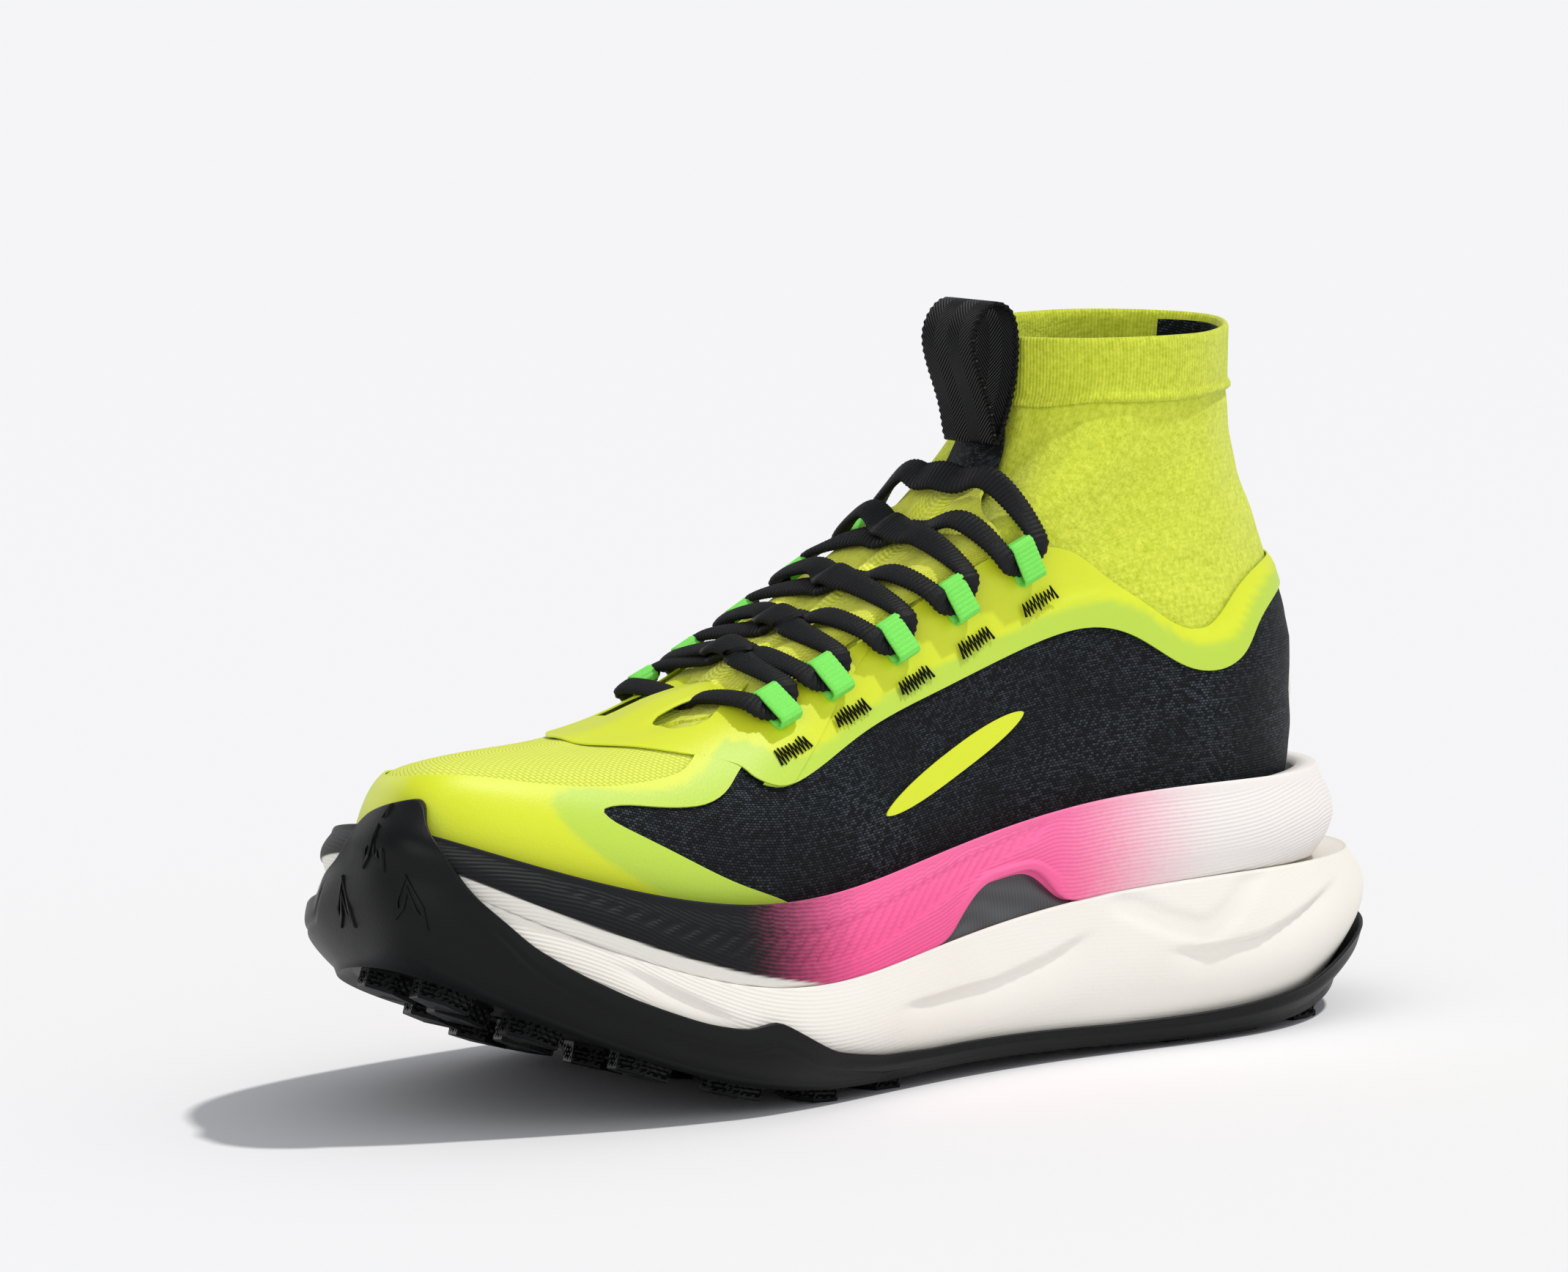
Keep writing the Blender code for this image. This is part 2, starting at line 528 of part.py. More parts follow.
def frame_matrix(x_axis, y_axis, z_axis, place):
    from mathutils import Matrix
    turn = Matrix([x_axis, y_axis, z_axis]).transposed().to_4x4()
    return Matrix.Translation(place) @ turn


def bar_tack(row, side, finish, collection):
    """The dense zigzag of thread that sews a lace loop's end down."""
    u, v = TACKS[row]
    u = side_of(u, side)
    _, along, _, _ = loop_frame(row, side)
    out = upper.normal(np.array(u), np.array(v))
    along = along - out * (along @ out)
    along /= np.linalg.norm(along)
    place = (upper.at(u, v) + out * (TRIM_LIFT + TACK[2] / 2) + ORIGIN) * MM
    bpy.ops.mesh.primitive_cube_add(size=1.0)
    made = bpy.context.active_object
    made.name = f"bar_tack_{'inner' if side < 0 else 'outer'}_{row + 1}"
    made.data.transform(frame_matrix(*np.diag(TACK) * MM, (0, 0, 0)))
    made.matrix_world = frame_matrix(along, np.cross(out, along), out, place)
    made.data.materials.append(finish)
    for old in list(made.users_collection):
        old.objects.unlink(made)
    collection.objects.link(made)
    return made


def lace_path():
    """The lace's centre line and the way its flat side faces: criss-cross, closed by a bar at each end."""
    up = [(0, -1, 1), (1, 1, 1), (2, -1, 1), (3, 1, 1), (4, -1, 1)]  # row, side, way through the loop
    down = [(4, 1, -1), (3, -1, -1), (2, 1, -1), (1, -1, -1), (0, 1, -1)]
    turns = up + down
    middle_lifts = [5.7, 2.9, 5.7, 2.9, 3.6, 5.7, 2.9, 5.7, 2.9, 4.7]  # half way over, after each loop
    points, outs, widths = [], [], []
    for step, (row, side, way) in enumerate(turns):
        centre, along, across, out = loop_frame(row, side)
        for angle in np.radians([-90, -45, 0, 45, 90]):
            slide = way * TURN * math.sin(angle)
            shift = -side * (TURN - 1 - TURN * math.cos(angle))
            points.append(centre + out * LACE_LIFT + along * slide + across * shift)
            outs.append(out)
            widths.append(LACE_NARROW)
        next_row, next_side, next_way = turns[(step + 1) % len(turns)]
        next_centre, next_along, _, _ = loop_frame(next_row, next_side)
        start = centre[0] + along[0] * TURN * way
        end = next_centre[0] - next_along[0] * TURN * next_way
        for share in (0.08, 0.18, 0.33, 0.5, 0.67, 0.82, 0.92):
            u = 0.88 * ((1 - share) * LACE_LOOPS[row][0] * -side + share * LACE_LOOPS[next_row][0] * -next_side)
            v = v_at(u, (1 - share) * start + share * end)
            rise = LACE_LIFT + (middle_lifts[step] - LACE_LIFT) * math.sqrt(math.sin(math.pi * share))
            points.append(upper.at(u, v, rise))
            outs.append(upper.normal(np.array(u), np.array(v)))
            widths.append(LACE_NARROW + (LACE_WIDE - LACE_NARROW) * math.sin(math.pi * share)**2)
    return np.array(points), np.array(outs), np.array(widths)


def closed_curve(points, count):
    """Values at evenly numbered places of a smooth closed curve through the points."""
    wide = np.concatenate([points[-3:], points, points[:3]])
    places = np.arange(count) * len(points) / count
    return spline_weights(np.arange(-3, len(points) + 3), places) @ wide


def lace(finish, collection):
    points, outs, widths = lace_path()
    count = 200
    line, out = closed_curve(points, count), closed_curve(outs, count)
    half = closed_curve(widths, count) / 2
    ahead = np.roll(line, -1, axis=0) - np.roll(line, 1, axis=0)
    across = np.cross(out, ahead)
    across /= np.linalg.norm(across, axis=1, keepdims=True)
    up = np.cross(ahead, across)
    up /= np.linalg.norm(up, axis=1, keepdims=True)
    corners = [(1, 0), (0.65, 1), (-0.65, 1), (-1, 0), (-0.65, -1), (0.65, -1)]
    sections = [np.array([line[i] + a * half[i] * across[i] + b * LACE_THICK / 2 * up[i] for a, b in corners])
                for i in range(count)]
    return tube_solid("lace", sections, finish, collection)


PULL_LINE = [(37.0, 144.5), (33.5, 151), (29.8, 160), (29.3, 169), (32.5, 176), (38, 178), (41.6, 174),
             (42.0, 166), (40.8, 156), (39.2, 148.5)]  # the loop's middle line seen from the side, (x, z)


def pull_loop(finish, collection):
    """A loop of webbing that stands up in front of the collar, seen from the side a teardrop."""
    line = closed_curve(np.array(PULL_LINE), 40)
    ahead = np.roll(line, -1, axis=0) - np.roll(line, 1, axis=0)
    side = np.column_stack([ahead[:, 1], -ahead[:, 0]])
    side /= np.linalg.norm(side, axis=1, keepdims=True)
    outline = bpy.data.curves.new("pull_loop", "CURVE")
    outline.dimensions = "2D"
    outline.fill_mode = "BOTH"
    outline.extrude = PULL_WIDE / 2 * MM
    for offset in (-PULL_WEB / 2, PULL_WEB / 2):
        ring = line + side * offset
        spline = outline.splines.new("POLY")
        spline.points.add(len(ring) - 1)
        spline.points.foreach_set("co", [c for x, z in ring * MM for c in (x, z, 0, 1)])
        spline.use_cyclic_u = True
    made = new_object("pull_loop", outline, finish, collection)
    made.rotation_euler.x = math.pi / 2
    made.location = ORIGIN * MM
    return made


# ---------------------------------------------------------------- the whole shoe
def clear_scene():
    for thing in list(bpy.data.objects):
        bpy.data.objects.remove(thing, do_unlink=True)


def new_collection(name):
    made = bpy.data.collections.new(name)
    bpy.context.scene.collection.children.link(made)
    return made


def build():
    clear_scene()
    shoe, tools = new_collection("running_shoe"), new_collection("cutters")
    tools.hide_render = True
    black_rubber = material("black_rubber", (0.012, 0.012, 0.013), 0.45)
    white_foam = material("white_foam", (0.86, 0.83, 0.76), 0.55)
    pink_foam = material("pink_foam", (0.90, 0.13, 0.30), 0.50)
    carbon = material("carbon_plate", (0.02, 0.02, 0.022), 0.35)
    board_felt = material("board_felt", (0.65, 0.65, 0.60), 0.90)
    insole_foam = material("insole_foam", (0.05, 0.05, 0.055), 0.85)
    black_weave = material("black_weave", (0.015, 0.017, 0.02), 0.60)
    pale_mesh = material("pale_mesh", (0.75, 0.85, 0.10), 0.75)
    yellow_film = material("yellow_film", (0.70, 0.83, 0.01), 0.40)
    yellow_knit = material("yellow_knit", (0.62, 0.74, 0.03), 0.85)
    clear_plastic = material("stiffener_plastic", (0.75, 0.75, 0.72), 0.50)
    pad_foam = material("pad_foam", (0.60, 0.72, 0.04), 0.85)
    green_webbing = material("green_webbing", (0.15, 0.78, 0.16), 0.55)
    black_webbing = material("black_webbing", (0.012, 0.012, 0.012), 0.60)
    black_thread = material("black_thread", (0.01, 0.01, 0.01), 0.55)
    black_lace = material("black_lace", (0.01, 0.01, 0.01), 0.75)

    lower_midsole(white_foam, shoe)
    upper_midsole(pink_foam, shoe)
    outsole(black_rubber, shoe, tools)
    plate("plate_inner", -1, carbon, shoe)
    plate("plate_outer", 1, carbon, shoe)
    plate_wing(carbon, shoe)
    flat_layer("lasting_board", 1.2, 0.6, BOARD_THICK, board_felt, shoe)
    flat_layer("insole", -1.2, 0.6 + BOARD_THICK + 0.6, INSOLE_THICK, insole_foam, shoe)

    front, inner_u, outer_u = spaced(-1.9, 1.9, 23), spaced(1.92, 5.985, 27), spaced(6.015, 10.08, 27)
    tuck = np.full(60, TUCK)
    cloth_edge = [(0, 0.51), (1.0, 0.50), (1.55, 0.45), (1.95, 0.46), (2.45, 0.58), (2.75, 0.615), (3.1, 0.61),
                  (3.53, 0.56), (3.9, 0.485), (4.3, 0.395), (4.6, 0.35), (4.9, 0.44), (5.3, 0.485), (6, 0.485)]
    panel("vamp_mesh", front, tuck[:23], both_sides(cloth_edge, front), 7, 0, CLOTH, pale_mesh, shoe)
    panel("quarter_inner", inner_u, tuck[:27], both_sides(cloth_edge, inner_u), 6, 0, CLOTH, black_weave, shoe)
    panel("quarter_outer", outer_u, tuck[:27], both_sides(cloth_edge, outer_u), 6, 0, CLOTH, black_weave, shoe)

    toe = spaced(-2.3, 2.3, 29)
    panel("toe_cap_film", toe, np.full(29, 0.0), both_sides(TOE_FILM_HIGH, toe), 3, FILM_LIFT, FILM,
          yellow_film, shoe)
    band = np.arange(64) * MERIDIANS / 64
    panel("eyestay_collar_film", band, both_sides(FILM_LOW, band), both_sides(FILM_HIGH, band), 3,
          FILM_LIFT, FILM, yellow_film, shoe, closed=True)

    ankle = np.arange(40) * MERIDIANS / 40
    sock_low = both_sides([(0, 0.44), (2, 0.34), (3, 0.32), (6, 0.34)], ankle)
    panel("sock_collar", ankle, sock_low, np.full(40, 0.868), 8, SOCK_LIFT, SOCK, yellow_knit, shoe, closed=True)
    panel("collar_cuff", ankle, np.full(40, 0.876), np.full(40, 1.0), 2, SOCK_LIFT, 2.0, yellow_knit, shoe,
          closed=True)
    throat = spaced(-2.3, 2.3, 17)
    tongue_low = both_sides([(0, 0.53), (1.0, 0.53), (1.5, 0.50), (1.9, 0.54), (2.3, 0.61)], throat)
    panel("tongue", throat, tongue_low, np.full(17, 0.80), 6, 0, CLOTH, yellow_knit, shoe)
    patch = spaced(-1.15, 1.15, 9)
    panel("pull_loop_patch", patch, np.full(9, 0.775), np.full(9, 0.862), 3, FILM_LIFT, 0.8, black_weave, shoe)
    back = spaced(5.5, 6.5, 9)
    panel("heel_grip_patch", back, np.full(9, 0.72), np.full(9, 0.985), 4, -3.1, 0.9, black_weave, shoe)
    panel("toe_puff", spaced(-1.1, 1.1, 13), np.full(13, -0.1), np.full(13, 0.26), 4, -1.9, 1.1,
          clear_plastic, shoe)
    panel("heel_counter", spaced(4.5, 7.5, 15), np.full(15, -0.1), np.full(15, 0.29), 4, -1.9, 1.4,
          clear_plastic, shoe)
    panel("ankle_pad_inner", spaced(4.75, 5.85, 8), np.full(8, 0.34), np.full(8, 0.50), 3, -5.5, 3.0,
          pad_foam, shoe)
    panel("ankle_pad_outer", spaced(6.15, 7.25, 8), np.full(8, 0.34), np.full(8, 0.50), 3, -5.5, 3.0,
          pad_foam, shoe)

    for side in (-1, 1):
        for row in range(len(LACE_LOOPS)):
            lace_loop(row, side, green_webbing, shoe)
            bar_tack(row, side, black_thread, shoe)
    lace(black_lace, shoe)
    pull_loop(black_webbing, shoe)


build()
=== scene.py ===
# %% [markdown]
# # A trail running shoe with a knitted ankle collar
# The shoe is a right one. The toe points to -X, the inner side faces -Y and +Z is up. Everything is
# in metres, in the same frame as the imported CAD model. The CAD pieces say where things are; this
# script gives each of them its real surface: foam, rubber, woven and knitted cloth, film and cord.

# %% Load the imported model
import json
import math

import bmesh
import bpy
import numpy as np
from mathutils import Matrix, Vector
from mathutils.geometry import delaunay_2d_cdt

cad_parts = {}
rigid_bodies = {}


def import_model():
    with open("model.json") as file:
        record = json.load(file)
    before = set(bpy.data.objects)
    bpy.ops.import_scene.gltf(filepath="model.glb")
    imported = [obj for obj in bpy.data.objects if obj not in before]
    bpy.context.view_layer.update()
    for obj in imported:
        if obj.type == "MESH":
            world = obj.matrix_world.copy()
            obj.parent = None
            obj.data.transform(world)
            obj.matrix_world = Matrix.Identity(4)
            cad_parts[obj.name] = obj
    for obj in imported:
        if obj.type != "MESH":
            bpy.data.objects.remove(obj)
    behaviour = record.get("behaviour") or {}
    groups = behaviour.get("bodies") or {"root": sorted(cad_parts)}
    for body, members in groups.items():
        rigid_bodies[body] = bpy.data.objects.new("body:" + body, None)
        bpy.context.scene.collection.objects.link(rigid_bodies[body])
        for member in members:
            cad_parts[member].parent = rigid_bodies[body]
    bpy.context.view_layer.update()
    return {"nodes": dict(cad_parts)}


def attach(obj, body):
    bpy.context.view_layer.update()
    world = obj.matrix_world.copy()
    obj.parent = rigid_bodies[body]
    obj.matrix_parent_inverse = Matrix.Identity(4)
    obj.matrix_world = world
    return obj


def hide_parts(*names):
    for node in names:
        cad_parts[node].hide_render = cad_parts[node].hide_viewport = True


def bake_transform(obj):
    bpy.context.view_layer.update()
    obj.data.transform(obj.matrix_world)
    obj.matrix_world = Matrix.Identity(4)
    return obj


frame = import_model()
nodes = frame["nodes"]

# %% [markdown]
# ## Camera, floor and light
# The shoe is lit as a catalogue picture is: a pale even floor that fills the view, a high key light
# from the right that throws a short grey shadow to the left, and an even sky as fill. The floor is
# one large plain sheet, so that no horizon shows.

# %% Camera
scene = bpy.context.scene
scene.view_settings.view_transform = "Standard"  # colours come out as their hex values say
TARGET = np.array([-0.0004, -0.0008, 0.070])
TURN_TO_SIDE, RAISE = math.radians(40), math.radians(8)  # the camera's azimuth and elevation
DISTANCE = 2.0
away = np.array([-math.sin(TURN_TO_SIDE) * math.cos(RAISE), -math.cos(TURN_TO_SIDE) * math.cos(RAISE),
                 math.sin(RAISE)])
lens = bpy.data.cameras.new("camera")
lens.lens, lens.sensor_width = 192.6, 36.0
lens.shift_x, lens.shift_y = -0.0435, 0.080
camera = bpy.data.objects.new("camera", lens)
camera.location = TARGET + DISTANCE * away
camera.rotation_euler = Vector(away).to_track_quat("Z", "Y").to_euler()
scene.collection.objects.link(camera)
scene.camera = camera
print("camera at", [round(c, 3) for c in camera.location])


# %% One function turns a hex colour to linear light
def linear(hex_colour):
    """sRGB hex to linear RGBA."""
    parts = [int(hex_colour[i:i + 2], 16) / 255 for i in (1, 3, 5)]
    return (*[c / 12.92 if c <= 0.04045 else ((c + 0.055) / 1.055) ** 2.4 for c in parts], 1.0)


# %% Sky and key light
world = bpy.data.worlds.new("even sky")
world.use_nodes = True
world.node_tree.nodes["Background"].inputs["Color"].default_value = linear("#F8F9FD")
world.node_tree.nodes["Background"].inputs["Strength"].default_value = 0.48
scene.world = world


def sun(name, towards, strength, angle, colour="#FFFFFF"):
    """A sun that shines along `towards`."""
    made = bpy.data.objects.new(name, bpy.data.lights.new(name, "SUN"))
    made.data.energy, made.data.angle = strength, math.radians(angle)
    made.data.color = linear(colour)[:3]
    made.rotation_euler = (-Vector(towards)).to_track_quat("Z", "Y").to_euler()
    scene.collection.objects.link(made)
    return made


sun("key", (-0.45, 0.25, -1.0), 1.80, 3.0, "#FFFEFA")
fills = [sun("left fill", (0.85, 0.60, -0.35), 0.95, 50.0),
         sun("right fill", (-0.45, 1.0, -0.20), 0.60, 60.0),
         sun("back fill", (0.1, -1.0, -0.3), 0.6, 50.0)]


# %% [markdown]
# ## Materials
# Each finish starts from one Principled shader whose constant numbers sit on its own sockets, and a
# few nodes for what varies over the surface. One helper adds a node, and another starts a finish.

# %% Helpers for materials
def add(tree, kind, inputs=None, **settings):
    """Adds one node: its settings, then its sockets, each linked or set."""
    node = tree.nodes.new(kind)
    for name, value in settings.items():
        setattr(node, name, value)
    for key, value in (inputs or {}).items():
        if isinstance(value, bpy.types.NodeSocket):
            tree.links.new(value, node.inputs[key])
        else:
            node.inputs[key].default_value = value
    return node


def start_finish(name, colour, **sockets):
    """A new material: its node tree and its shader, with the constant sockets set."""
    made = bpy.data.materials.new(name)
    made.use_nodes = True
    shader = made.node_tree.nodes["Principled BSDF"]
    shader.inputs["Base Color"].default_value = linear(colour)
    for key, value in sockets.items():
        shader.inputs[key.replace("_", " ")].default_value = value
    return made, made.node_tree, shader


# %% [markdown]
# ### Moulded foam
# Both halves of the midsole are moulded EVA foam. The mould was cut with fine level lines, about
# 0.65 mm apart, which show as striations. They are drawn 1 mm apart here so that they show, and the
# attribute `lines` switches them off in the smooth carved parts. The upper half is sprayed in a fade
# that runs from black at the toe through pink to white at the heel.

# %% Foam finishes
LINE_PITCH = 1.0  # mm, coarser than the mould's 0.65 mm so that the lines show


def foam_bump(tree, shader, pitch, depth):
    """Level lines on the UV map, whose V runs up the wall in mm, with a fine open-cell grain."""
    height = add(tree, "ShaderNodeSeparateXYZ", {0: add(tree, "ShaderNodeUVMap").outputs[0]}).outputs[1]
    turns = add(tree, "ShaderNodeMath", {0: height, 1: 2 * math.pi / pitch}, operation="MULTIPLY").outputs[0]
    wave = add(tree, "ShaderNodeMath", {0: turns}, operation="SINE").outputs[0]
    mask = add(tree, "ShaderNodeAttribute", attribute_name="lines").outputs["Fac"]
    ridge = add(tree, "ShaderNodeMath", {0: wave, 1: mask}, operation="MULTIPLY").outputs[0]
    place = add(tree, "ShaderNodeTexCoord").outputs["Object"]
    grain = add(tree, "ShaderNodeTexNoise", {"Vector": place, "Scale": 900.0, "Detail": 2.0})
    lines = add(tree, "ShaderNodeMath", {0: ridge, 1: 0.32}, operation="MULTIPLY").outputs[0]
    cells = add(tree, "ShaderNodeMath", {0: grain.outputs[0], 1: 0.35}, operation="MULTIPLY").outputs[0]
    rise = add(tree, "ShaderNodeMath", {0: lines, 1: cells}, operation="ADD").outputs[0]
    bump = add(tree, "ShaderNodeBump", {"Height": rise, "Distance": depth, "Strength": 0.9})
    tree.links.new(bump.outputs[0], shader.inputs["Normal"])
    return place, wave


def white_foam_finish():
    made, tree, shader = start_finish("moulded white EVA foam", "#E9E5DD", Roughness=0.62,
                                      Subsurface_Weight=0.12, Subsurface_Scale=0.003)
    shader.inputs["Subsurface Radius"].default_value = (1.0, 0.8, 0.6)
    place, _ = foam_bump(tree, shader, LINE_PITCH, 0.00016)
    blotch = add(tree, "ShaderNodeTexNoise", {"Vector": place, "Scale": 28.0, "Detail": 3.0})
    mixed = add(tree, "ShaderNodeMix", {0: blotch.outputs[0], 6: linear("#E3DED4"), 7: linear("#EBE8E1")},
                data_type="RGBA")
    tree.links.new(mixed.outputs[2], shader.inputs["Base Color"])
    return made


def fade_foam_finish():
    made, tree, shader = start_finish("sprayed EVA foam, black to pink to white", "#FA6FA6", Roughness=0.55,
                                      Specular_IOR_Level=0.18, Subsurface_Weight=0.05, Subsurface_Scale=0.002)
    place, wave = foam_bump(tree, shader, LINE_PITCH, 0.00020)
    x, _, z = add(tree, "ShaderNodeSeparateXYZ", {0: place}).outputs
    speck = add(tree, "ShaderNodeTexNoise", {"Vector": place, "Scale": 700.0, "Detail": 2.0}).outputs[0]
    bare = add(tree, "ShaderNodeAttribute", attribute_name="bare").outputs["Fac"]
    off = add(tree, "ShaderNodeMath", {0: speck, 1: 0.5}, operation="SUBTRACT").outputs[0]
    spread = add(tree, "ShaderNodeMath", {0: off, 1: 0.008}, operation="MULTIPLY").outputs[0]
    along = add(tree, "ShaderNodeMath", {0: x, 1: spread}, operation="ADD").outputs[0]
    # the spray hangs on the upper sides of the mould lines, so the fade is streaked along them
    streak = add(tree, "ShaderNodeMath", {0: wave, 1: 0.0022}, operation="MULTIPLY").outputs[0]
    along = add(tree, "ShaderNodeMath", {0: along, 1: streak}, operation="ADD").outputs[0]
    to_pink = add(tree, "ShaderNodeMapRange", {"Value": along, "From Min": -0.075, "From Max": -0.034},
                  interpolation_type="SMOOTHSTEP").outputs[0]
    to_white = add(tree, "ShaderNodeMapRange", {"Value": along, "From Min": 0.024, "From Max": 0.078},
                   interpolation_type="SMOOTHSTEP").outputs[0]
    high = add(tree, "ShaderNodeMapRange", {"Value": z, "From Min": 0.030, "From Max": 0.062}).outputs[0]
    pink = add(tree, "ShaderNodeMix", {0: high, 6: linear("#EE5790"), 7: linear("#F473A6")}, data_type="RGBA")
    front = add(tree, "ShaderNodeMix", {0: to_pink, 6: linear("#111214"), 7: pink.outputs[2]},
                data_type="RGBA")
    sprayed = add(tree, "ShaderNodeMix", {0: to_white, 6: front.outputs[2], 7: linear("#E9E4E0")},
                  data_type="RGBA")
    whole = add(tree, "ShaderNodeMix", {0: bare, 6: sprayed.outputs[2], 7: linear("#E7E4DC")},
                data_type="RGBA")
    tree.links.new(whole.outputs[2], shader.inputs["Base Color"])
    return made


WHITE_FOAM, FADE_FOAM = white_foam_finish(), fade_foam_finish()
print("foam finishes:", WHITE_FOAM.name, "/", FADE_FOAM.name)


# %% [markdown]
# ### Rubber and plates
# The outsole is moulded carbon-black rubber: nearly black, satin, with a faint moulded grain. The
# plates in the midsole are pressed carbon fibre, a 2 x 2 twill about 2 mm wide under clear resin.

# %% Rubber, carbon, board and stiffener finishes
def rubber_finish():
    made, tree, shader = start_finish("moulded black rubber", "#0B0C0D", Roughness=0.42,
                                      Specular_IOR_Level=0.16)
    place = add(tree, "ShaderNodeTexCoord").outputs["Object"]
    grain = add(tree, "ShaderNodeTexNoise", {"Vector": place, "Scale": 1400.0, "Detail": 3.0}).outputs[0]
    smear = add(tree, "ShaderNodeTexNoise", {"Vector": place, "Scale": 60.0, "Detail": 4.0}).outputs[0]
    bump = add(tree, "ShaderNodeBump", {"Height": grain, "Distance": 0.00008, "Strength": 0.6})
    gloss = add(tree, "ShaderNodeMapRange", {"Value": smear, "To Min": 0.34, "To Max": 0.50}).outputs[0]
    tree.links.new(bump.outputs[0], shader.inputs["Normal"])
    tree.links.new(gloss, shader.inputs["Roughness"])
    return made


def carbon_finish():
    made, tree, shader = start_finish("pressed carbon fibre twill", "#2B2C2E", Roughness=0.38,
                                      Coat_Weight=0.3, Coat_Roughness=0.25)
    place = add(tree, "ShaderNodeTexCoord").outputs["Object"]
    x, y, _ = add(tree, "ShaderNodeSeparateXYZ", {0: place}).outputs
    turns_per_m = 2 * math.pi / 0.002  # one thread every 2 mm
    threads = []
    for way in ("ADD", "SUBTRACT"):
        slant = add(tree, "ShaderNodeMath", {0: x, 1: y}, operation=way).outputs[0]
        turns = add(tree, "ShaderNodeMath", {0: slant, 1: turns_per_m}, operation="MULTIPLY").outputs[0]
        threads.append(add(tree, "ShaderNodeMath", {0: turns}, operation="SINE").outputs[0])
    weave = add(tree, "ShaderNodeMath", {0: threads[0], 1: threads[1]}, operation="MULTIPLY").outputs[0]
    shade = add(tree, "ShaderNodeMapRange", {"Value": weave, "From Min": -1.0}).outputs[0]
    mixed = add(tree, "ShaderNodeMix", {0: shade, 6: linear("#232426"), 7: linear("#414346")},
                data_type="RGBA")
    tree.links.new(mixed.outputs[2], shader.inputs["Base Color"])
    return made


def felt_finish(name, dark, light, scale):
    """Pressed fibre board, foam or moulded sheet: a matt mottle."""
    made, tree, shader = start_finish(name, light, Roughness=0.9)
    place = add(tree, "ShaderNodeTexCoord").outputs["Object"]
    fibre = add(tree, "ShaderNodeTexNoise", {"Vector": place, "Scale": scale, "Detail": 6.0}).outputs[0]
    mixed = add(tree, "ShaderNodeMix", {0: fibre, 6: linear(dark), 7: linear(light)}, data_type="RGBA")
    bump = add(tree, "ShaderNodeBump", {"Height": fibre, "Distance": 0.0002})
    tree.links.new(mixed.outputs[2], shader.inputs["Base Color"])
    tree.links.new(bump.outputs[0], shader.inputs["Normal"])
    return made


RUBBER, CARBON = rubber_finish(), carbon_finish()
BOARD = felt_finish("pressed fibre lasting board", "#B9B5A6", "#DAD6C8", 500.0)
INSOLE_CLOTH = felt_finish("black brushed insole cloth", "#121315", "#2A2C30", 1500.0)
STIFFENER = felt_finish("moulded stiffener sheet", "#CFCDC4", "#E6E4DC", 300.0)


# %% [markdown]
# ### Film, weaves and knits
# The overlays are moulded TPU film, neon yellow, satin and slightly see-through: where black cloth
# lies under the edge the yellow turns greener. The quarters are an open weave of black yarn with a
# few pale glints, painted highlights on its floats, the vamp a pale ribbed mesh, and collar and tongue
# are fleecy knits. These patterns lie on each piece's UV map, which is in millimetres along the cloth.

# %% Film finish
def film_finish():
    made, tree, shader = start_finish("moulded yellow TPU film", "#D0DC24", Roughness=0.45,
                                      Subsurface_Weight=0.15, Subsurface_Scale=0.001, Specular_IOR_Level=0.35)
    shader.inputs["Subsurface Radius"].default_value = (1.0, 1.0, 0.2)
    over_black = add(tree, "ShaderNodeAttribute", attribute_name="over_black").outputs["Fac"]
    place = add(tree, "ShaderNodeTexCoord").outputs["Object"]
    cloud = add(tree, "ShaderNodeTexNoise", {"Vector": place, "Scale": 35.0, "Detail": 2.0}).outputs[0]
    plain = add(tree, "ShaderNodeMix", {0: cloud, 6: linear("#CDD922"), 7: linear("#D5DF2C")},
                data_type="RGBA").outputs[2]
    green = add(tree, "ShaderNodeMix", {0: over_black, 6: plain, 7: linear("#B6D244")}, data_type="RGBA")
    fine = add(tree, "ShaderNodeTexNoise", {"Vector": place, "Scale": 1800.0, "Detail": 1.0}).outputs[0]
    bump = add(tree, "ShaderNodeBump", {"Height": fine, "Distance": 0.00004})
    tree.links.new(green.outputs[2], shader.inputs["Base Color"])
    tree.links.new(bump.outputs[0], shader.inputs["Normal"])
    return made


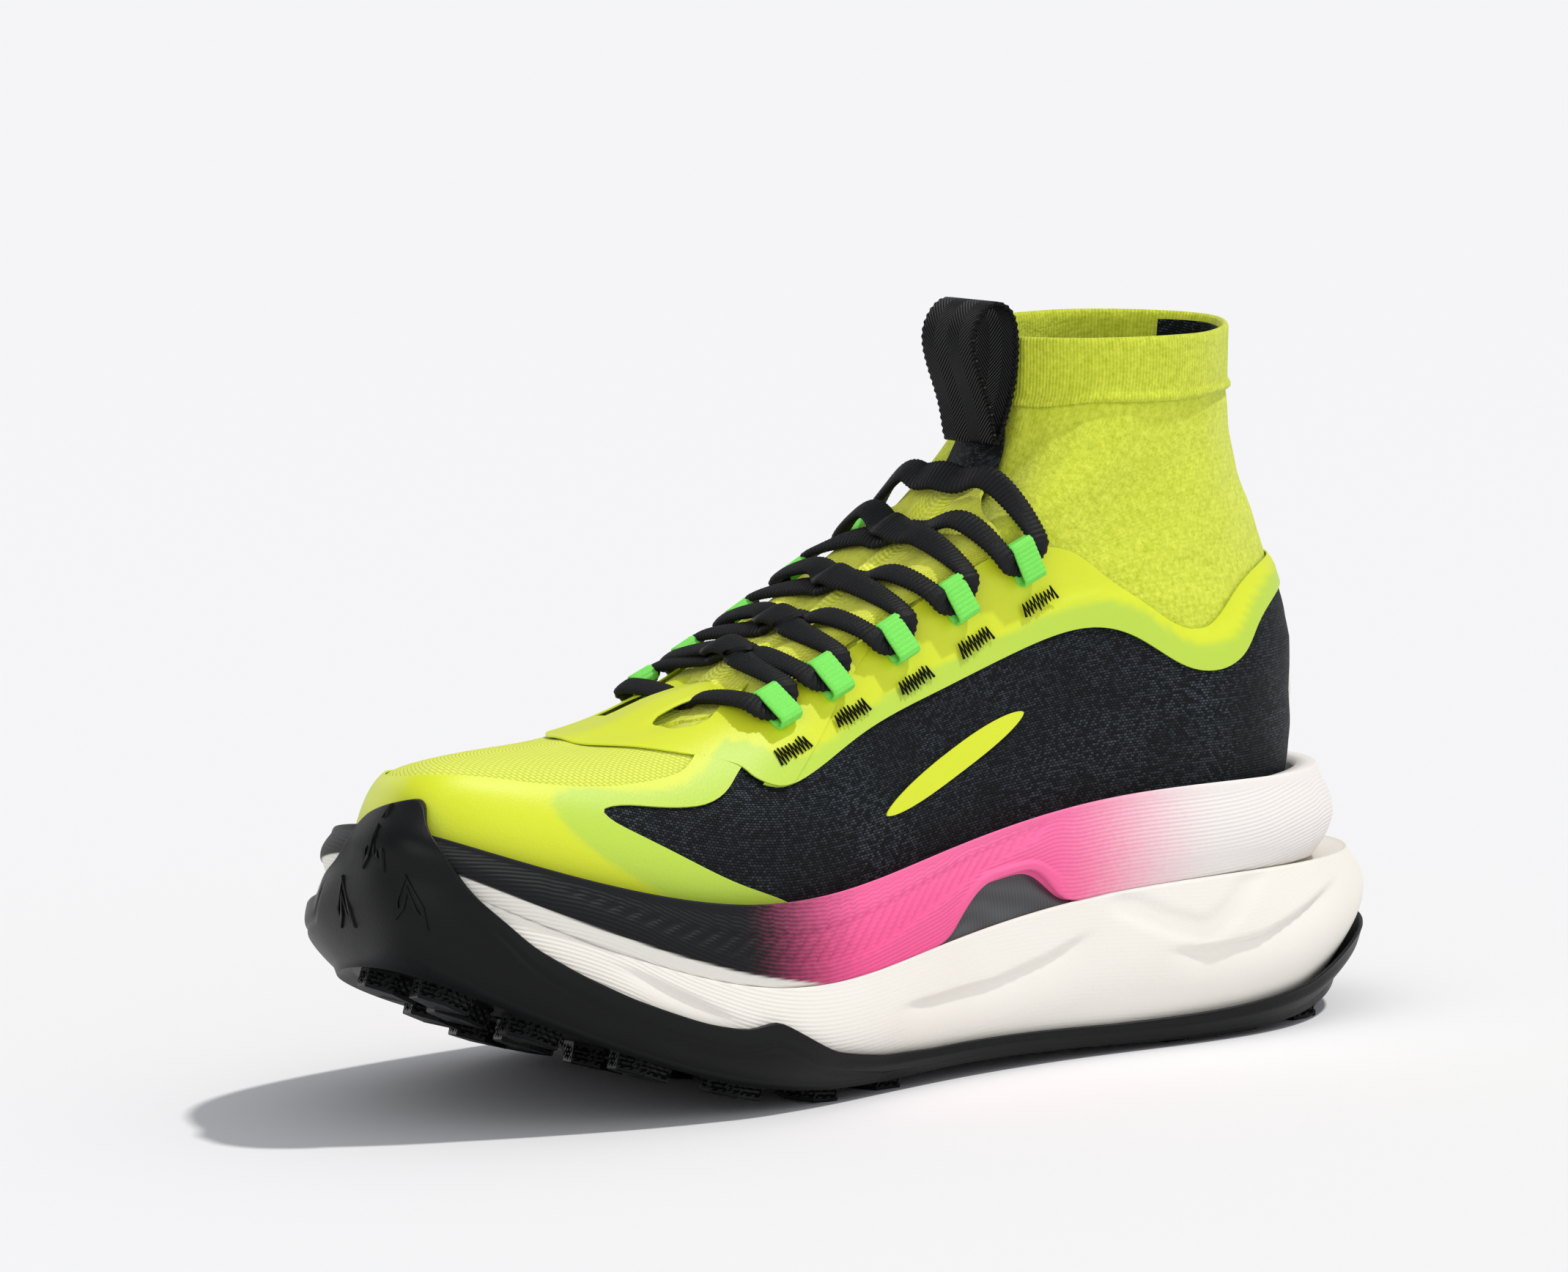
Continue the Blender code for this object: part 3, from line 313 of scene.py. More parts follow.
# %% Black woven quarters
def weave_finish():
    """Floats 1.05 mm long in rows 0.66 mm apart, each row shifted by half a float."""
    made, tree, shader = start_finish("black jacquard weave", "#15181B", Roughness=0.6,
                                      Specular_IOR_Level=0.10)
    uv = add(tree, "ShaderNodeUVMap").outputs[0]
    bricks = {"Vector": uv, "Scale": 1.0, "Mortar Size": 0.14, "Mortar Smooth": 1.0, "Brick Width": 1.05,
              "Row Height": 0.66}
    floats = add(tree, "ShaderNodeTexBrick", bricks | {"Color1": (0, 0, 0, 1), "Color2": (1, 1, 1, 1),
                                                       "Mortar": (0, 0, 0, 1), "Bias": -0.25}, offset=0.5)
    gap = floats.outputs["Fac"]
    place = add(tree, "ShaderNodeTexCoord").outputs["Object"]
    # painted highlights: a few floats are painted pale as glints of light on the yarn, more strongly in noise
    # patches
    patch = add(tree, "ShaderNodeTexNoise", {"Vector": place, "Scale": 45.0, "Detail": 3.0}).outputs[0]
    painted_glint_strength = add(tree, "ShaderNodeMapRange", {"Value": patch, "From Min": 0.35, "From Max": 0.65,
                                            "To Min": 0.30, "To Max": 0.9}).outputs[0]
    glint = add(tree, "ShaderNodeMath", {0: floats.outputs["Color"], 1: painted_glint_strength},
                operation="MULTIPLY").outputs[0]
    yarn = add(tree, "ShaderNodeMix", {0: glint, 6: linear("#15181C"), 7: linear("#4C545C")},
               data_type="RGBA").outputs[2]
    whole = add(tree, "ShaderNodeMix", {0: gap, 6: yarn, 7: linear("#050607")}, data_type="RGBA")
    rise = add(tree, "ShaderNodeMath", {0: 1.0, 1: gap}, operation="SUBTRACT").outputs[0]
    bump = add(tree, "ShaderNodeBump", {"Height": rise, "Distance": 0.00035, "Strength": 0.9})
    tree.links.new(whole.outputs[2], shader.inputs["Base Color"])
    tree.links.new(bump.outputs[0], shader.inputs["Normal"])
    return made


# %% Pale ribbed mesh of the vamp
def vamp_finish():
    """Fine ribs 1.1 mm apart that run on the slant, each broken into short loops."""
    made, tree, shader = start_finish("pale ribbed mesh", "#D6DF50", Roughness=0.8, Specular_IOR_Level=0.2)
    uv = add(tree, "ShaderNodeUVMap").outputs[0]
    turned = add(tree, "ShaderNodeMapping", {"Vector": uv, "Rotation": (0, 0, math.radians(24))}).outputs[0]
    loops = add(tree, "ShaderNodeTexBrick", {"Vector": turned, "Scale": 1.0, "Mortar Size": 0.14,
                                             "Mortar Smooth": 1.0, "Brick Width": 2.2, "Row Height": 1.0,
                                             "Color1": (0.2, 0.2, 0.2, 1), "Color2": (1, 1, 1, 1),
                                             "Bias": 0.2}, offset=0.5)
    thread = add(tree, "ShaderNodeMix", {0: loops.outputs["Fac"], 6: linear("#DCE460"), 7: linear("#BCC838")},
                 data_type="RGBA")
    gaps = add(tree, "ShaderNodeMath", {0: 1.0, 1: loops.outputs["Fac"]}, operation="SUBTRACT").outputs[0]
    bump = add(tree, "ShaderNodeBump", {"Height": gaps, "Distance": 0.0002, "Strength": 0.6})
    tree.links.new(thread.outputs[2], shader.inputs["Base Color"])
    tree.links.new(bump.outputs[0], shader.inputs["Normal"])
    return made


# %% Knits of the collar, the cuff and the tongue
def knit_finish(name, dark, light, wale, course, fluff, rib, course_depth):
    """A knit on a UV map in mm: wales run up the leg, courses round it, under a felted haze."""
    made, tree, shader = start_finish(name, light, Roughness=0.9, Sheen_Weight=0.15, Sheen_Roughness=0.5,
                                      Specular_IOR_Level=0.2)
    uv = add(tree, "ShaderNodeUVMap").outputs[0]
    s, t, _ = add(tree, "ShaderNodeSeparateXYZ", {0: uv}).outputs
    turns = add(tree, "ShaderNodeMath", {0: s, 1: 2 * math.pi / wale}, operation="MULTIPLY").outputs[0]
    wales = add(tree, "ShaderNodeMath", {0: turns}, operation="SINE").outputs[0]
    turns = add(tree, "ShaderNodeMath", {0: t, 1: 2 * math.pi / course}, operation="MULTIPLY").outputs[0]
    rows = add(tree, "ShaderNodeMath", {0: turns}, operation="SINE").outputs[0]
    place = add(tree, "ShaderNodeTexCoord").outputs["Object"]
    melange = add(tree, "ShaderNodeTexNoise", {"Vector": place, "Scale": 620.0, "Detail": 6.0,
                                               "Roughness": 0.75}).outputs[0]
    haze = add(tree, "ShaderNodeTexNoise", {"Vector": place, "Scale": 900.0, "Detail": 3.0}).outputs[0]
    ribs = add(tree, "ShaderNodeMath", {0: wales, 1: rib}, operation="MULTIPLY").outputs[0]
    courses = add(tree, "ShaderNodeMath", {0: rows, 1: course_depth}, operation="MULTIPLY").outputs[0]
    both = add(tree, "ShaderNodeMath", {0: ribs, 1: courses}, operation="ADD").outputs[0]
    loops = add(tree, "ShaderNodeMath", {0: both, 1: 0.25}, operation="MULTIPLY").outputs[0]
    felt = add(tree, "ShaderNodeMath", {0: haze, 1: fluff}, operation="MULTIPLY").outputs[0]
    rise = add(tree, "ShaderNodeMath", {0: loops, 1: felt}, operation="ADD").outputs[0]
    # painted shade: the loops' relief also goes into the colour, paler on raised loops and darker in the
    # grooves, on top of the melange's own mottle
    painted_loop_shade = add(tree, "ShaderNodeMath", {0: loops, 1: 0.6}, operation="MULTIPLY").outputs[0]
    tone = add(tree, "ShaderNodeMath", {0: painted_loop_shade, 1: melange}, operation="ADD").outputs[0]
    share = add(tree, "ShaderNodeMapRange", {"Value": tone, "From Min": 0.28, "From Max": 0.72}).outputs[0]
    mixed = add(tree, "ShaderNodeMix", {0: share, 6: linear(dark), 7: linear(light)}, data_type="RGBA")
    bump = add(tree, "ShaderNodeBump", {"Height": rise, "Distance": 0.00045, "Strength": 0.8})
    tree.links.new(mixed.outputs[2], shader.inputs["Base Color"])
    tree.links.new(bump.outputs[0], shader.inputs["Normal"])
    return made


# %% Laces, webbing and thread
def yarn_finish(name, dark, light, scale, roughness, sheen=0.0, gloss=0.2):
    """Twisted polyester yarn on a piece whose ribs are in its mesh: a streaky tint and a fine fuzz."""
    made, tree, shader = start_finish(name, light, Roughness=roughness, Sheen_Weight=sheen,
                                      Specular_IOR_Level=gloss)
    uv = add(tree, "ShaderNodeUVMap").outputs[0]
    strands = add(tree, "ShaderNodeTexNoise", {"Vector": uv, "Scale": scale, "Detail": 4.0}).outputs[0]
    mixed = add(tree, "ShaderNodeMix", {0: strands, 6: linear(dark), 7: linear(light)}, data_type="RGBA")
    bump = add(tree, "ShaderNodeBump", {"Height": strands, "Distance": 0.00025, "Strength": 0.7})
    tree.links.new(mixed.outputs[2], shader.inputs["Base Color"])
    tree.links.new(bump.outputs[0], shader.inputs["Normal"])
    return made


def twill_finish():
    """Herringbone webbing: slanting lines 1 mm apart that turn at each 4.5 mm band, with a satin sheen."""
    made, tree, shader = start_finish("black herringbone webbing", "#08090A", Roughness=0.40,
                                      Specular_IOR_Level=0.10)
    uv = add(tree, "ShaderNodeUVMap").outputs[0]
    s, t, _ = add(tree, "ShaderNodeSeparateXYZ", {0: uv}).outputs
    band = add(tree, "ShaderNodeMath", {0: s, 1: 4.5}, operation="PINGPONG").outputs[0]
    level = add(tree, "ShaderNodeMath", {0: band, 1: t}, operation="ADD").outputs[0]
    slant = add(tree, "ShaderNodeMath", {0: level, 1: 2 * math.pi / 1.0}, operation="MULTIPLY").outputs[0]
    wave = add(tree, "ShaderNodeMath", {0: slant}, operation="SINE").outputs[0]
    share = add(tree, "ShaderNodeMapRange", {"Value": wave, "From Min": -1.0}).outputs[0]
    # painted highlight: the slanting lines are the webbing's own twill, and their ridges are also painted a
    # shade lighter, standing in for light on them
    mixed = add(tree, "ShaderNodeMix", {0: share, 6: linear("#050506"), 7: linear("#0E0F11")},
                data_type="RGBA")
    bump = add(tree, "ShaderNodeBump", {"Height": share, "Distance": 0.00022, "Strength": 0.8})
    tree.links.new(mixed.outputs[2], shader.inputs["Base Color"])
    tree.links.new(bump.outputs[0], shader.inputs["Normal"])
    return made


FILM, WEAVE, VAMP = film_finish(), weave_finish(), vamp_finish()
COLLAR_KNIT = knit_finish("felted yellow collar knit", "#ACBA20", "#DFE752", 0.95, 1.2, 1.1, 0.12, 0.10)
CUFF_KNIT = knit_finish("ribbed yellow cuff knit", "#A9B71E", "#DAE24A", 0.9, 1.3, 0.9, 0.55, 0.10)
# painted light: the tongue's knit is given paler colours than the collar's and the cuff's, standing in for
# light on it under the laces
TONGUE_KNIT = knit_finish("fleecy yellow tongue knit", "#D4DE20", "#FAFD5C", 1.7, 1.5, 1.4, 0.7, 0.9)
LACE_YARN = yarn_finish("black woven polyester lace", "#08080A", "#161719", 2.2, 0.55, 0.0, 0.18)
GREEN_YARN = yarn_finish("green grosgrain webbing", "#66D24B", "#86EA62", 2.5, 0.55, 0.0, 0.3)
THREAD = yarn_finish("black polyester thread", "#050506", "#121314", 3.0, 0.45, 0.0, 0.12)
TWILL = twill_finish()
print(len(bpy.data.materials), "materials")


# %% [markdown]
# ## The shoe's form
# Three cages of points, the same as in the CAD model, give the foams and the upper their form.
# Rows are rings round the shoe; columns are meridians, counted 0 at the toe tip, 3 at the
# inner waist, 6 at the heel's back and 9 at the outer waist. A smooth surface runs through them, so a
# place on the shoe is given as (u, v): meridian and height. All of this is in millimetres.

# %% Cages
ORIGIN = np.array([-0.41, -0.78, 0.0])  # where the cages' zero lies in the shoe's own frame, mm
LOWER_FOAM = [
    [(-147, -9, 40), (-134, -31, 34), (-76, -50, 11), (-14, -44, 6), (45, -41, 5), (108, -39, 6),
     (144, 0, 14), (108, 39, 6), (45, 44, 5), (-10, 50, 6), (-66, 51, 10), (-126, 30, 30)],
    [(-152, -9, 52), (-140, -34, 46), (-77, -54, 19), (-14, -47, 17), (45, -45, 19), (110, -45, 22),
     (157, 0, 28), (110, 45, 22), (45, 49, 19), (-10, 54, 17), (-66, 55, 18), (-132, 34, 40)],
    [(-152, -9, 61), (-141, -33, 56), (-77, -52, 31), (-14, -46, 32), (45, -43, 39), (109, -41, 40),
     (152, 0, 38), (109, 41, 40), (45, 46, 38), (-10, 51, 31), (-66, 53, 29), (-131, 31, 50)],
]
UPPER_FOAM = [
    [(-152, -9, 61), (-141, -33, 56), (-77, -52, 31), (-14, -46, 32), (45, -43, 39), (105, -40, 40),
     (139, 0, 38), (105, 40, 40), (45, 46, 38), (-10, 51, 31), (-66, 52, 29), (-131, 31, 50)],
    [(-152, -9, 66), (-141, -34, 62), (-77, -52, 40), (-14, -47, 45), (45, -44, 50), (105, -43, 50),
     (146, 0, 48), (105, 43, 49), (45, 46, 46), (-10, 51, 40), (-66, 52, 38), (-132, 31, 56)],
    [(-150, -9, 70), (-138, -32, 66), (-76, -49, 49), (-14, -46, 54), (45, -43, 62), (104, -40, 62),
     (139, 0, 60), (104, 40, 59), (45, 44, 55), (-10, 48, 49), (-66, 49, 46), (-129, 29, 61)],
]
UPPER = [
    [(-142, -9, 60), (-130, -27, 56), (-73, -41, 37), (-12, -38, 39), (45, -35, 44), (99, -31, 44),
     (126, 0, 44), (99, 31, 44), (45, 36, 43), (-10, 40, 38), (-63, 40, 36), (-121, 23, 52)],
    [(-145, -9, 66), (-133, -28, 62), (-74, -43, 46), (-12, -40, 50), (45, -37, 58), (100, -34, 60),
     (130, 0, 60), (100, 34, 57), (45, 38, 52), (-10, 42, 46), (-64, 43, 43), (-124, 25, 58)],
    [(-143, -9, 76), (-130, -27, 73), (-71, -43, 59), (-9, -39, 64), (46, -38, 72), (100, -35, 74),
     (134, 0, 72), (100, 35, 70), (47, 38, 66), (-8, 40, 60), (-61, 42, 56), (-121, 23, 69)],
    [(-132, -8, 82), (-119, -22, 80), (-62, -36, 73), (-3, -34, 80), (48, -35, 87), (99, -34, 90),
     (134, 0, 90), (99, 34, 86), (49, 35, 82), (-2, 36, 76), (-53, 37, 70), (-112, 18, 77)],
    [(-99, -6, 83), (-92, -16, 82), (-46, -28, 86), (8, -29, 97), (54, -32, 104), (98, -30, 106),
     (129, 0, 106), (98, 31, 104), (55, 32, 100), (8, 30, 94), (-40, 28, 84), (-86, 12, 81)],
    [(-50, -3, 89), (-47, -11, 90), (-16, -22, 104), (24, -26, 114), (62, -29, 120), (97, -26, 122),
     (124, 0, 122), (97, 28, 121), (62, 29, 118), (24, 27, 113), (-14, 22, 102), (-43, 8, 89)],
    [(12, 0, 114), (13, -9, 115), (26, -20, 126), (46, -26, 133), (72, -27, 136), (98, -23, 138),
     (118, 1, 138), (98, 25, 138), (72, 28, 136), (46, 26, 132), (26, 20, 125), (13, 8, 114)],
    [(41, 1, 142), (43, -9, 143), (51, -19, 149), (63, -25, 152), (79, -27, 153), (99, -21, 154),
     (115, 1, 154), (99, 24, 154), (79, 28, 153), (63, 26, 152), (51, 20, 149), (43, 10, 143)],
    [(45, 1, 169), (47, -9, 169), (54, -19, 169), (65, -25, 169), (80, -27, 169), (99, -21, 169),
     (116, 1, 170), (99, 23, 171), (80, 28, 171), (65, 26, 171), (54, 20, 171), (47, 10, 170)],
]
MERIDIANS = 12
TUCK = -0.16  # v of the upper's lowest ring, tucked inside the foam cup; 0 is at the cup's rim
print(len(UPPER), "rings in the upper's cage")


# %% Smooth surfaces through the cages
def spline_weights(knots, places):
    """Each knot's share of a natural cubic spline at each place, as a matrix."""
    knots = np.asarray(knots, float)
    places = np.asarray(places, float).ravel()
    step, count = np.diff(knots), len(knots)
    left, right = np.eye(count), np.zeros((count, count))
    for i in range(1, count - 1):
        left[i, i - 1:i + 2] = step[i - 1], 2 * (step[i - 1] + step[i]), step[i]
        right[i, i - 1:i + 2] = 6 / step[i - 1], -6 / step[i - 1] - 6 / step[i], 6 / step[i]
    bend = np.linalg.solve(left, right)
    span = np.clip(np.searchsorted(knots, places, side="right") - 1, 0, count - 2)
    a = (knots[span + 1] - places) / step[span]
    b = 1 - a
    weights = np.zeros((len(places), count))
    rows = np.arange(len(places))
    weights[rows, span] += a
    weights[rows, span + 1] += b
    weights += ((a**3 - a) * step[span]**2 / 6)[:, None] * bend[span]
    weights += ((b**3 - b) * step[span]**2 / 6)[:, None] * bend[span + 1]
    return weights


def ring_weights(places):
    """The same round the shoe, where meridian 12 is meridian 0 again."""
    wide = spline_weights(np.arange(-4, MERIDIANS + 5), np.mod(places, MERIDIANS))
    weights = np.zeros((len(wide), MERIDIANS))
    for column, meridian in enumerate(range(-4, MERIDIANS + 5)):
        weights[:, meridian % MERIDIANS] += wide[:, column]
    return weights


class Surface:
    """A smooth closed tube through a cage: u counts meridians, v runs over the rows."""

    def __init__(self, rows, heights=None):
        self.cage = np.array(rows, float)
        self.heights = np.linspace(0, 1, len(rows)) if heights is None else heights

    def at(self, u, v, lift=0.0):
        u, v, lift = np.broadcast_arrays(np.asarray(u, float), v, lift)
        point = self._point(u, v)
        if not np.any(lift):
            return point
        return point + lift[..., None] * self.normal(u, v)

    def _point(self, u, v):
        across, up = ring_weights(np.ravel(u)), spline_weights(self.heights, v)
        return np.einsum("nk,jkc,nj->nc", across, self.cage, up).reshape(np.shape(u) + (3,))

    def normal(self, u, v, near=1e-3):
        along = self._point(u + near, v) - self._point(u - near, v)
        up = self._point(u, v + near) - self._point(u, v - near)
        out = np.cross(along, up)
        return out / np.linalg.norm(out, axis=-1, keepdims=True)


def curve(points, places):
    """A smooth curve's second coordinate at each place, through listed points."""
    knots, values = zip(*points)
    return (spline_weights(knots, places) @ np.array(values, float)).reshape(np.shape(places))


def both_sides(points, u):
    """An edge round the shoe: the outer side, u from 6 to 12, mirrors the inner one."""
    folded = np.abs(np.mod(np.asarray(u, float) + 6, MERIDIANS) - 6)
    knots, values = zip(*points)
    return np.interp(folded, knots, values)


lower_foam, upper_foam = Surface(LOWER_FOAM), Surface(UPPER_FOAM)
upper = Surface(UPPER, [TUCK, *np.linspace(0, 1, len(UPPER) - 1)])
print("cuff height", round(float(upper.at(3.0, 1.0)[2]), 1), "mm")


# %% Meshes from points, with a UV map in millimetres and named attributes
def make(name, points, faces, finish, uv=None, smooth=True, **attributes):
    """A mesh object from points in the cages' frame, mm. `uv` and the attributes are given per point."""
    mesh = bpy.data.meshes.new(name)
    mesh.from_pydata(((np.asarray(points, float) + ORIGIN) * 0.001).tolist(), [], faces)
    if smooth:
        mesh.shade_smooth()
    if uv is not None:
        corners = np.empty(len(mesh.loops), int)
        mesh.loops.foreach_get("vertex_index", corners)
        mesh.uv_layers.new(name="cloth").data.foreach_set("uv", np.asarray(uv, float)[corners].ravel())
    for key, values in attributes.items():
        mesh.attributes.new(key, "FLOAT", "POINT").data.foreach_set("value", np.asarray(values, float))
    mesh.materials.append(finish)
    made = bpy.data.objects.new(name, mesh)
    scene.collection.objects.link(made)
    return made


def faces_outward(made):
    """A closed mesh with its faces turned outward."""
    solid = bmesh.new()
    solid.from_mesh(made.data)
    bmesh.ops.recalc_face_normals(solid, faces=solid.faces)
    solid.to_mesh(made.data)
    solid.free()
    return made


def grid_faces(rings, columns, closed):
    """Quads between neighbouring rings, facing out when u x v points out."""
    last = columns if closed else columns - 1
    return [(r * columns + c, r * columns + (c + 1) % columns,
             (r + 1) * columns + (c + 1) % columns, (r + 1) * columns + c)
            for r in range(rings - 1) for c in range(last)]


def zipped(columns):
    """The faces that close a ring round the shoe, from each point of the inner side to its outer twin."""
    half = columns // 2
    across = [(i, i + 1, columns - 1 - i, columns - i) for i in range(1, half - 1)]
    return [(0, 1, columns - 1), *across, (half - 1, half, half + 1)]


def loft(name, rings, finish, **more):
    """A closed solid through rings, from a small one below, out, up and in to a small one above."""
    columns = len(rings[0])
    faces = grid_faces(len(rings), columns, closed=True)
    faces += [tuple(reversed(face)) for face in zipped(columns)]
    last = (len(rings) - 1) * columns
    faces += [tuple(last + corner for corner in face) for face in zipped(columns)]
    points = np.concatenate(rings)
    rise = np.array([np.linalg.norm(b - a, axis=1) for a, b in zip(rings, rings[1:])])
    up = np.vstack([np.zeros(columns), np.cumsum(rise, axis=0)]).ravel()
    round_about = np.tile(np.arange(columns) * 780 / columns, len(rings))
    return make(name, points, faces, finish, uv=np.column_stack([round_about, up]), **more)


def near_line(points, line):
    """Each point's distance to a line of points, mm."""
    best = np.full(len(points), 1e9)
    for a, b in zip(line, line[1:]):
        along = b - a
        share = np.clip(((points - a) @ along) / max(along @ along, 1e-9), 0, 1)
        best = np.minimum(best, np.linalg.norm(points - a - share[:, None] * along, axis=1))
    return best


def smooth_step(value):
    value = np.clip(value, 0, 1)
    return value * value * (3 - 2 * value)


# %% [markdown]
# ## Midsole
# The foams are lofted through rings again, this time with hundreds of points to a ring, so that the
# carving in their walls is in the mesh: soft ledges that swell out of the lower foam, a wide V, and a
# row of slanting cuts in the upper foam that grow from the toe to the arch. Each carving is a line of
# listed (u, v) points, and the wall moves in by a depth that fades with the distance to it.

# %% Lines along the sole, mm
TREAD_LINE = [(-150, 42), (-130, 32), (-105, 21), (-76, 11.5), (-45, 7), (-10, 6), (45, 5), (100, 5.5),
              (130, 9.5), (150, 18)]
GLUE_LINE = [(-152, 58), (-140, 51), (-131, 47), (-110, 39), (-77, 31), (-45, 29.5), (-12, 31.5), (20, 36),
             (45, 38.5), (105, 39), (139, 37.5), (157, 34)]
GLUE_DIP = [(-150, 1), (-110, 3), (-77, 5), (45, 7), (110, 8), (157, 2)]
MIDDLE_LINE = [(-110, -4), (-75, 0), (-12, 3), (45, 2.5), (105, 0)]
SPINE = (-100, 100)
SMALLEST = 0.3
FOAM_GAP = 0.25
AROUND = 420
ROUND = np.arange(AROUND) * MERIDIANS / AROUND


def inwards(ring, share):
    """A ring pulled towards the shoe's middle line, share 1 leaving it where it is."""
    x = np.clip(ring[:, 0], *SPINE)
    middle = np.stack([x, curve(MIDDLE_LINE, x)], axis=1)
    return middle + share * (ring[:, :2] - middle)


def level(plan, height):
    return np.column_stack([plan, np.broadcast_to(height, len(plan))])


def tread_ring(edge, share, drop):
    """A ring under the foam: the tread line's height, and the edge's own where it meets the edge."""
    plan = inwards(edge, share)
    rise = edge[:, 2] - curve(TREAD_LINE, edge[:, 0])
    return level(plan, curve(TREAD_LINE, plan[:, 0]) + rise * share**4 - drop)


def glue_ring(edge, share, drop=0.0):
    """A ring of the joint between the two foams, which sags towards the middle."""
    plan = inwards(edge, share)
    rise = edge[:, 2] - curve(GLUE_LINE, edge[:, 0])
    sag = curve(GLUE_DIP, plan[:, 0]) * (1 - max(share, SMALLEST)**2)
    return level(plan, curve(GLUE_LINE, plan[:, 0]) + rise * share**6 - sag - drop)


# %% Carving in the lower foam
def ledge(u, v, wall, line, depth, fade):
    """How far the wall sinks just below a line (u, v), swelling back out over `fade` mm."""
    side = np.where(u > 6, MERIDIANS - u, u)
    us, vs = np.array(line).T
    at = np.interp(side, us, vs)
    inside = smooth_step((side - us[0]) / 0.25) * smooth_step((us[-1] - side) / 0.25)
    below = (at - v) * wall
    return depth * inside * smooth_step(below / 1.6) * np.exp(-np.clip(below, 0, None) / fade)


LEDGES = [  # (line, depth mm, fade mm): the carved crescents of the lower foam's wall
    ([(1.50, 0.93), (1.66, 0.90), (1.85, 0.80), (2.05, 0.66)], 1.6, 5.0),
    ([(2.75, 0.69), (3.0, 0.655), (3.35, 0.65), (3.65, 0.73), (3.95, 0.86)], 1.9, 6.0),
    ([(4.20, 0.66), (4.45, 0.62), (4.70, 0.64), (4.95, 0.74), (5.25, 0.88)], 2.4, 8.0),
]
VEE = [(4.05, 0.93), (4.25, 0.79), (4.42, 0.70), (4.56, 0.80), (4.72, 1.02)]


def lower_foam_piece():
    edge, seam = lower_foam.at(ROUND, 0.0), lower_foam.at(ROUND, 1.0)
    wall = np.linalg.norm(seam - edge, axis=1) * 1.1
    rings = [tread_ring(edge, share, 0.0) for share in (SMALLEST, 0.5, 0.7, 0.85, 0.95)]
    lines = [np.zeros(AROUND)] * len(rings)
    vee = [lower_foam.at(side, v) for side, v in VEE]
    twin = [lower_foam.at(MERIDIANS - side, v) for side, v in VEE]
    for v in np.linspace(0, 1, 46):
        points = lower_foam.at(ROUND, v)
        sink = sum(ledge(ROUND, v, wall, *each) for each in LEDGES)
        band = np.minimum(near_line(points, vee), near_line(points, twin))
        sink = sink + 0.7 * smooth_step((4.2 - band) / 2.5)
        sink = sink * smooth_step((1 - v) * wall / 2.0) * smooth_step(v * wall / 3.0)
        rings.append(points - sink[:, None] * lower_foam.normal(ROUND, np.full(AROUND, v)))
        front = 0.15 + 0.85 * smooth_step((-20 - points[:, 0]) / 70)
        lines.append(smooth_step(1 - sink / 0.5) * smooth_step(v / 0.08) * front)
    for share in (0.995, 0.98, 0.94, 0.82, 0.6, SMALLEST):
        rings.append(glue_ring(seam, share, FOAM_GAP))
        lines.append(np.zeros(AROUND))
    return loft("foam_lower", rings, WHITE_FOAM, lines=np.concatenate(lines))


foam_lower = lower_foam_piece()
print("foam_lower", len(foam_lower.data.polygons), "faces")


# %% The upper foam, with its slanting cuts and the arch opening
PLATE_POCKET, CUP_CLEAR, FLOOR_DROP, CUP_DIP = 2.0, 2.5, 2.4, 1.5
CUT_PATH = [(1.42, 0.74), (1.7, 0.64), (2.0, 0.52), (2.3, 0.44), (2.6, 0.42), (2.85, 0.47), (3.1, 0.58),
            (3.35, 0.70), (3.6, 0.82)]
CUT_LENGTH = [(1.42, 0.8), (1.7, 3.0), (2.0, 6.0), (2.4, 9.5), (2.7, 11.5), (3.0, 10.0), (3.3, 7.0),
              (3.6, 3.0)]
CUT_STEP = 0.066  # in u, about 3.8 mm between cuts
SPRAY_EDGE = [(0, 0.30), (0.8, 0.30), (1.2, 0.30), (1.6, 0.27), (1.9, 0.20), (2.2, 0.09), (2.4, 0.0),
              (6, 0.0)]


def window_lift(u):
    """The arch opening on the inner side: how far the foam's lower edge lifts to show the plate."""
    return 11.0 * np.exp(-((u - 3.43) / 0.27)**4)


def cut_lines():
    """The slanting cuts on the inner side and the outer side, each a short line in mm with its depth."""
    cuts = []
    for u in np.arange(1.42, 3.62, CUT_STEP):
        v, length = float(curve(CUT_PATH, [u])[0]), float(curve(CUT_LENGTH, [u])[0])
        half_u, half_v = 0.30 * length / 46, 0.40 * length / 22
        ends = [(u - half_u, v - half_v), (u, v), (u + half_u, v + half_v)]
        for mirror in (False, True):
            line = np.array([upper_foam.at(MERIDIANS - a if mirror else a, b) for a, b in ends])
            cuts.append((line, min(0.35 + 0.06 * length, 0.85)))
    return cuts


def cup_floor(edge, share, lift=0.0):
    """A ring of the foam cup's floor, which is a little lower under the middle of the foot."""
    plan = inwards(edge, share)
    side, other = upper.at(np.linspace(0, 6, 40), TUCK), upper.at(12 - np.linspace(0, 6, 40), TUCK)
    mean = (side + other) / 2
    along = np.interp(plan[:, 0], mean[:, 0], mean[:, 2] - FLOOR_DROP)
    height = (edge[:, 2] - FLOOR_DROP) * share**4 + along * (1 - share**4)
    return level(plan, height - CUP_DIP * (1 - share**2) + lift)


def dense_round():
    """Columns round the shoe, closer where the cuts are, the same on both sides."""
    inner = np.concatenate([np.arange(0.0, 1.28, 0.04), np.arange(1.28, 3.86, 0.0125),
                            np.arange(3.87, 6.0, 0.04)])
    return np.concatenate([inner, [6.0], MERIDIANS - inner[:0:-1]])


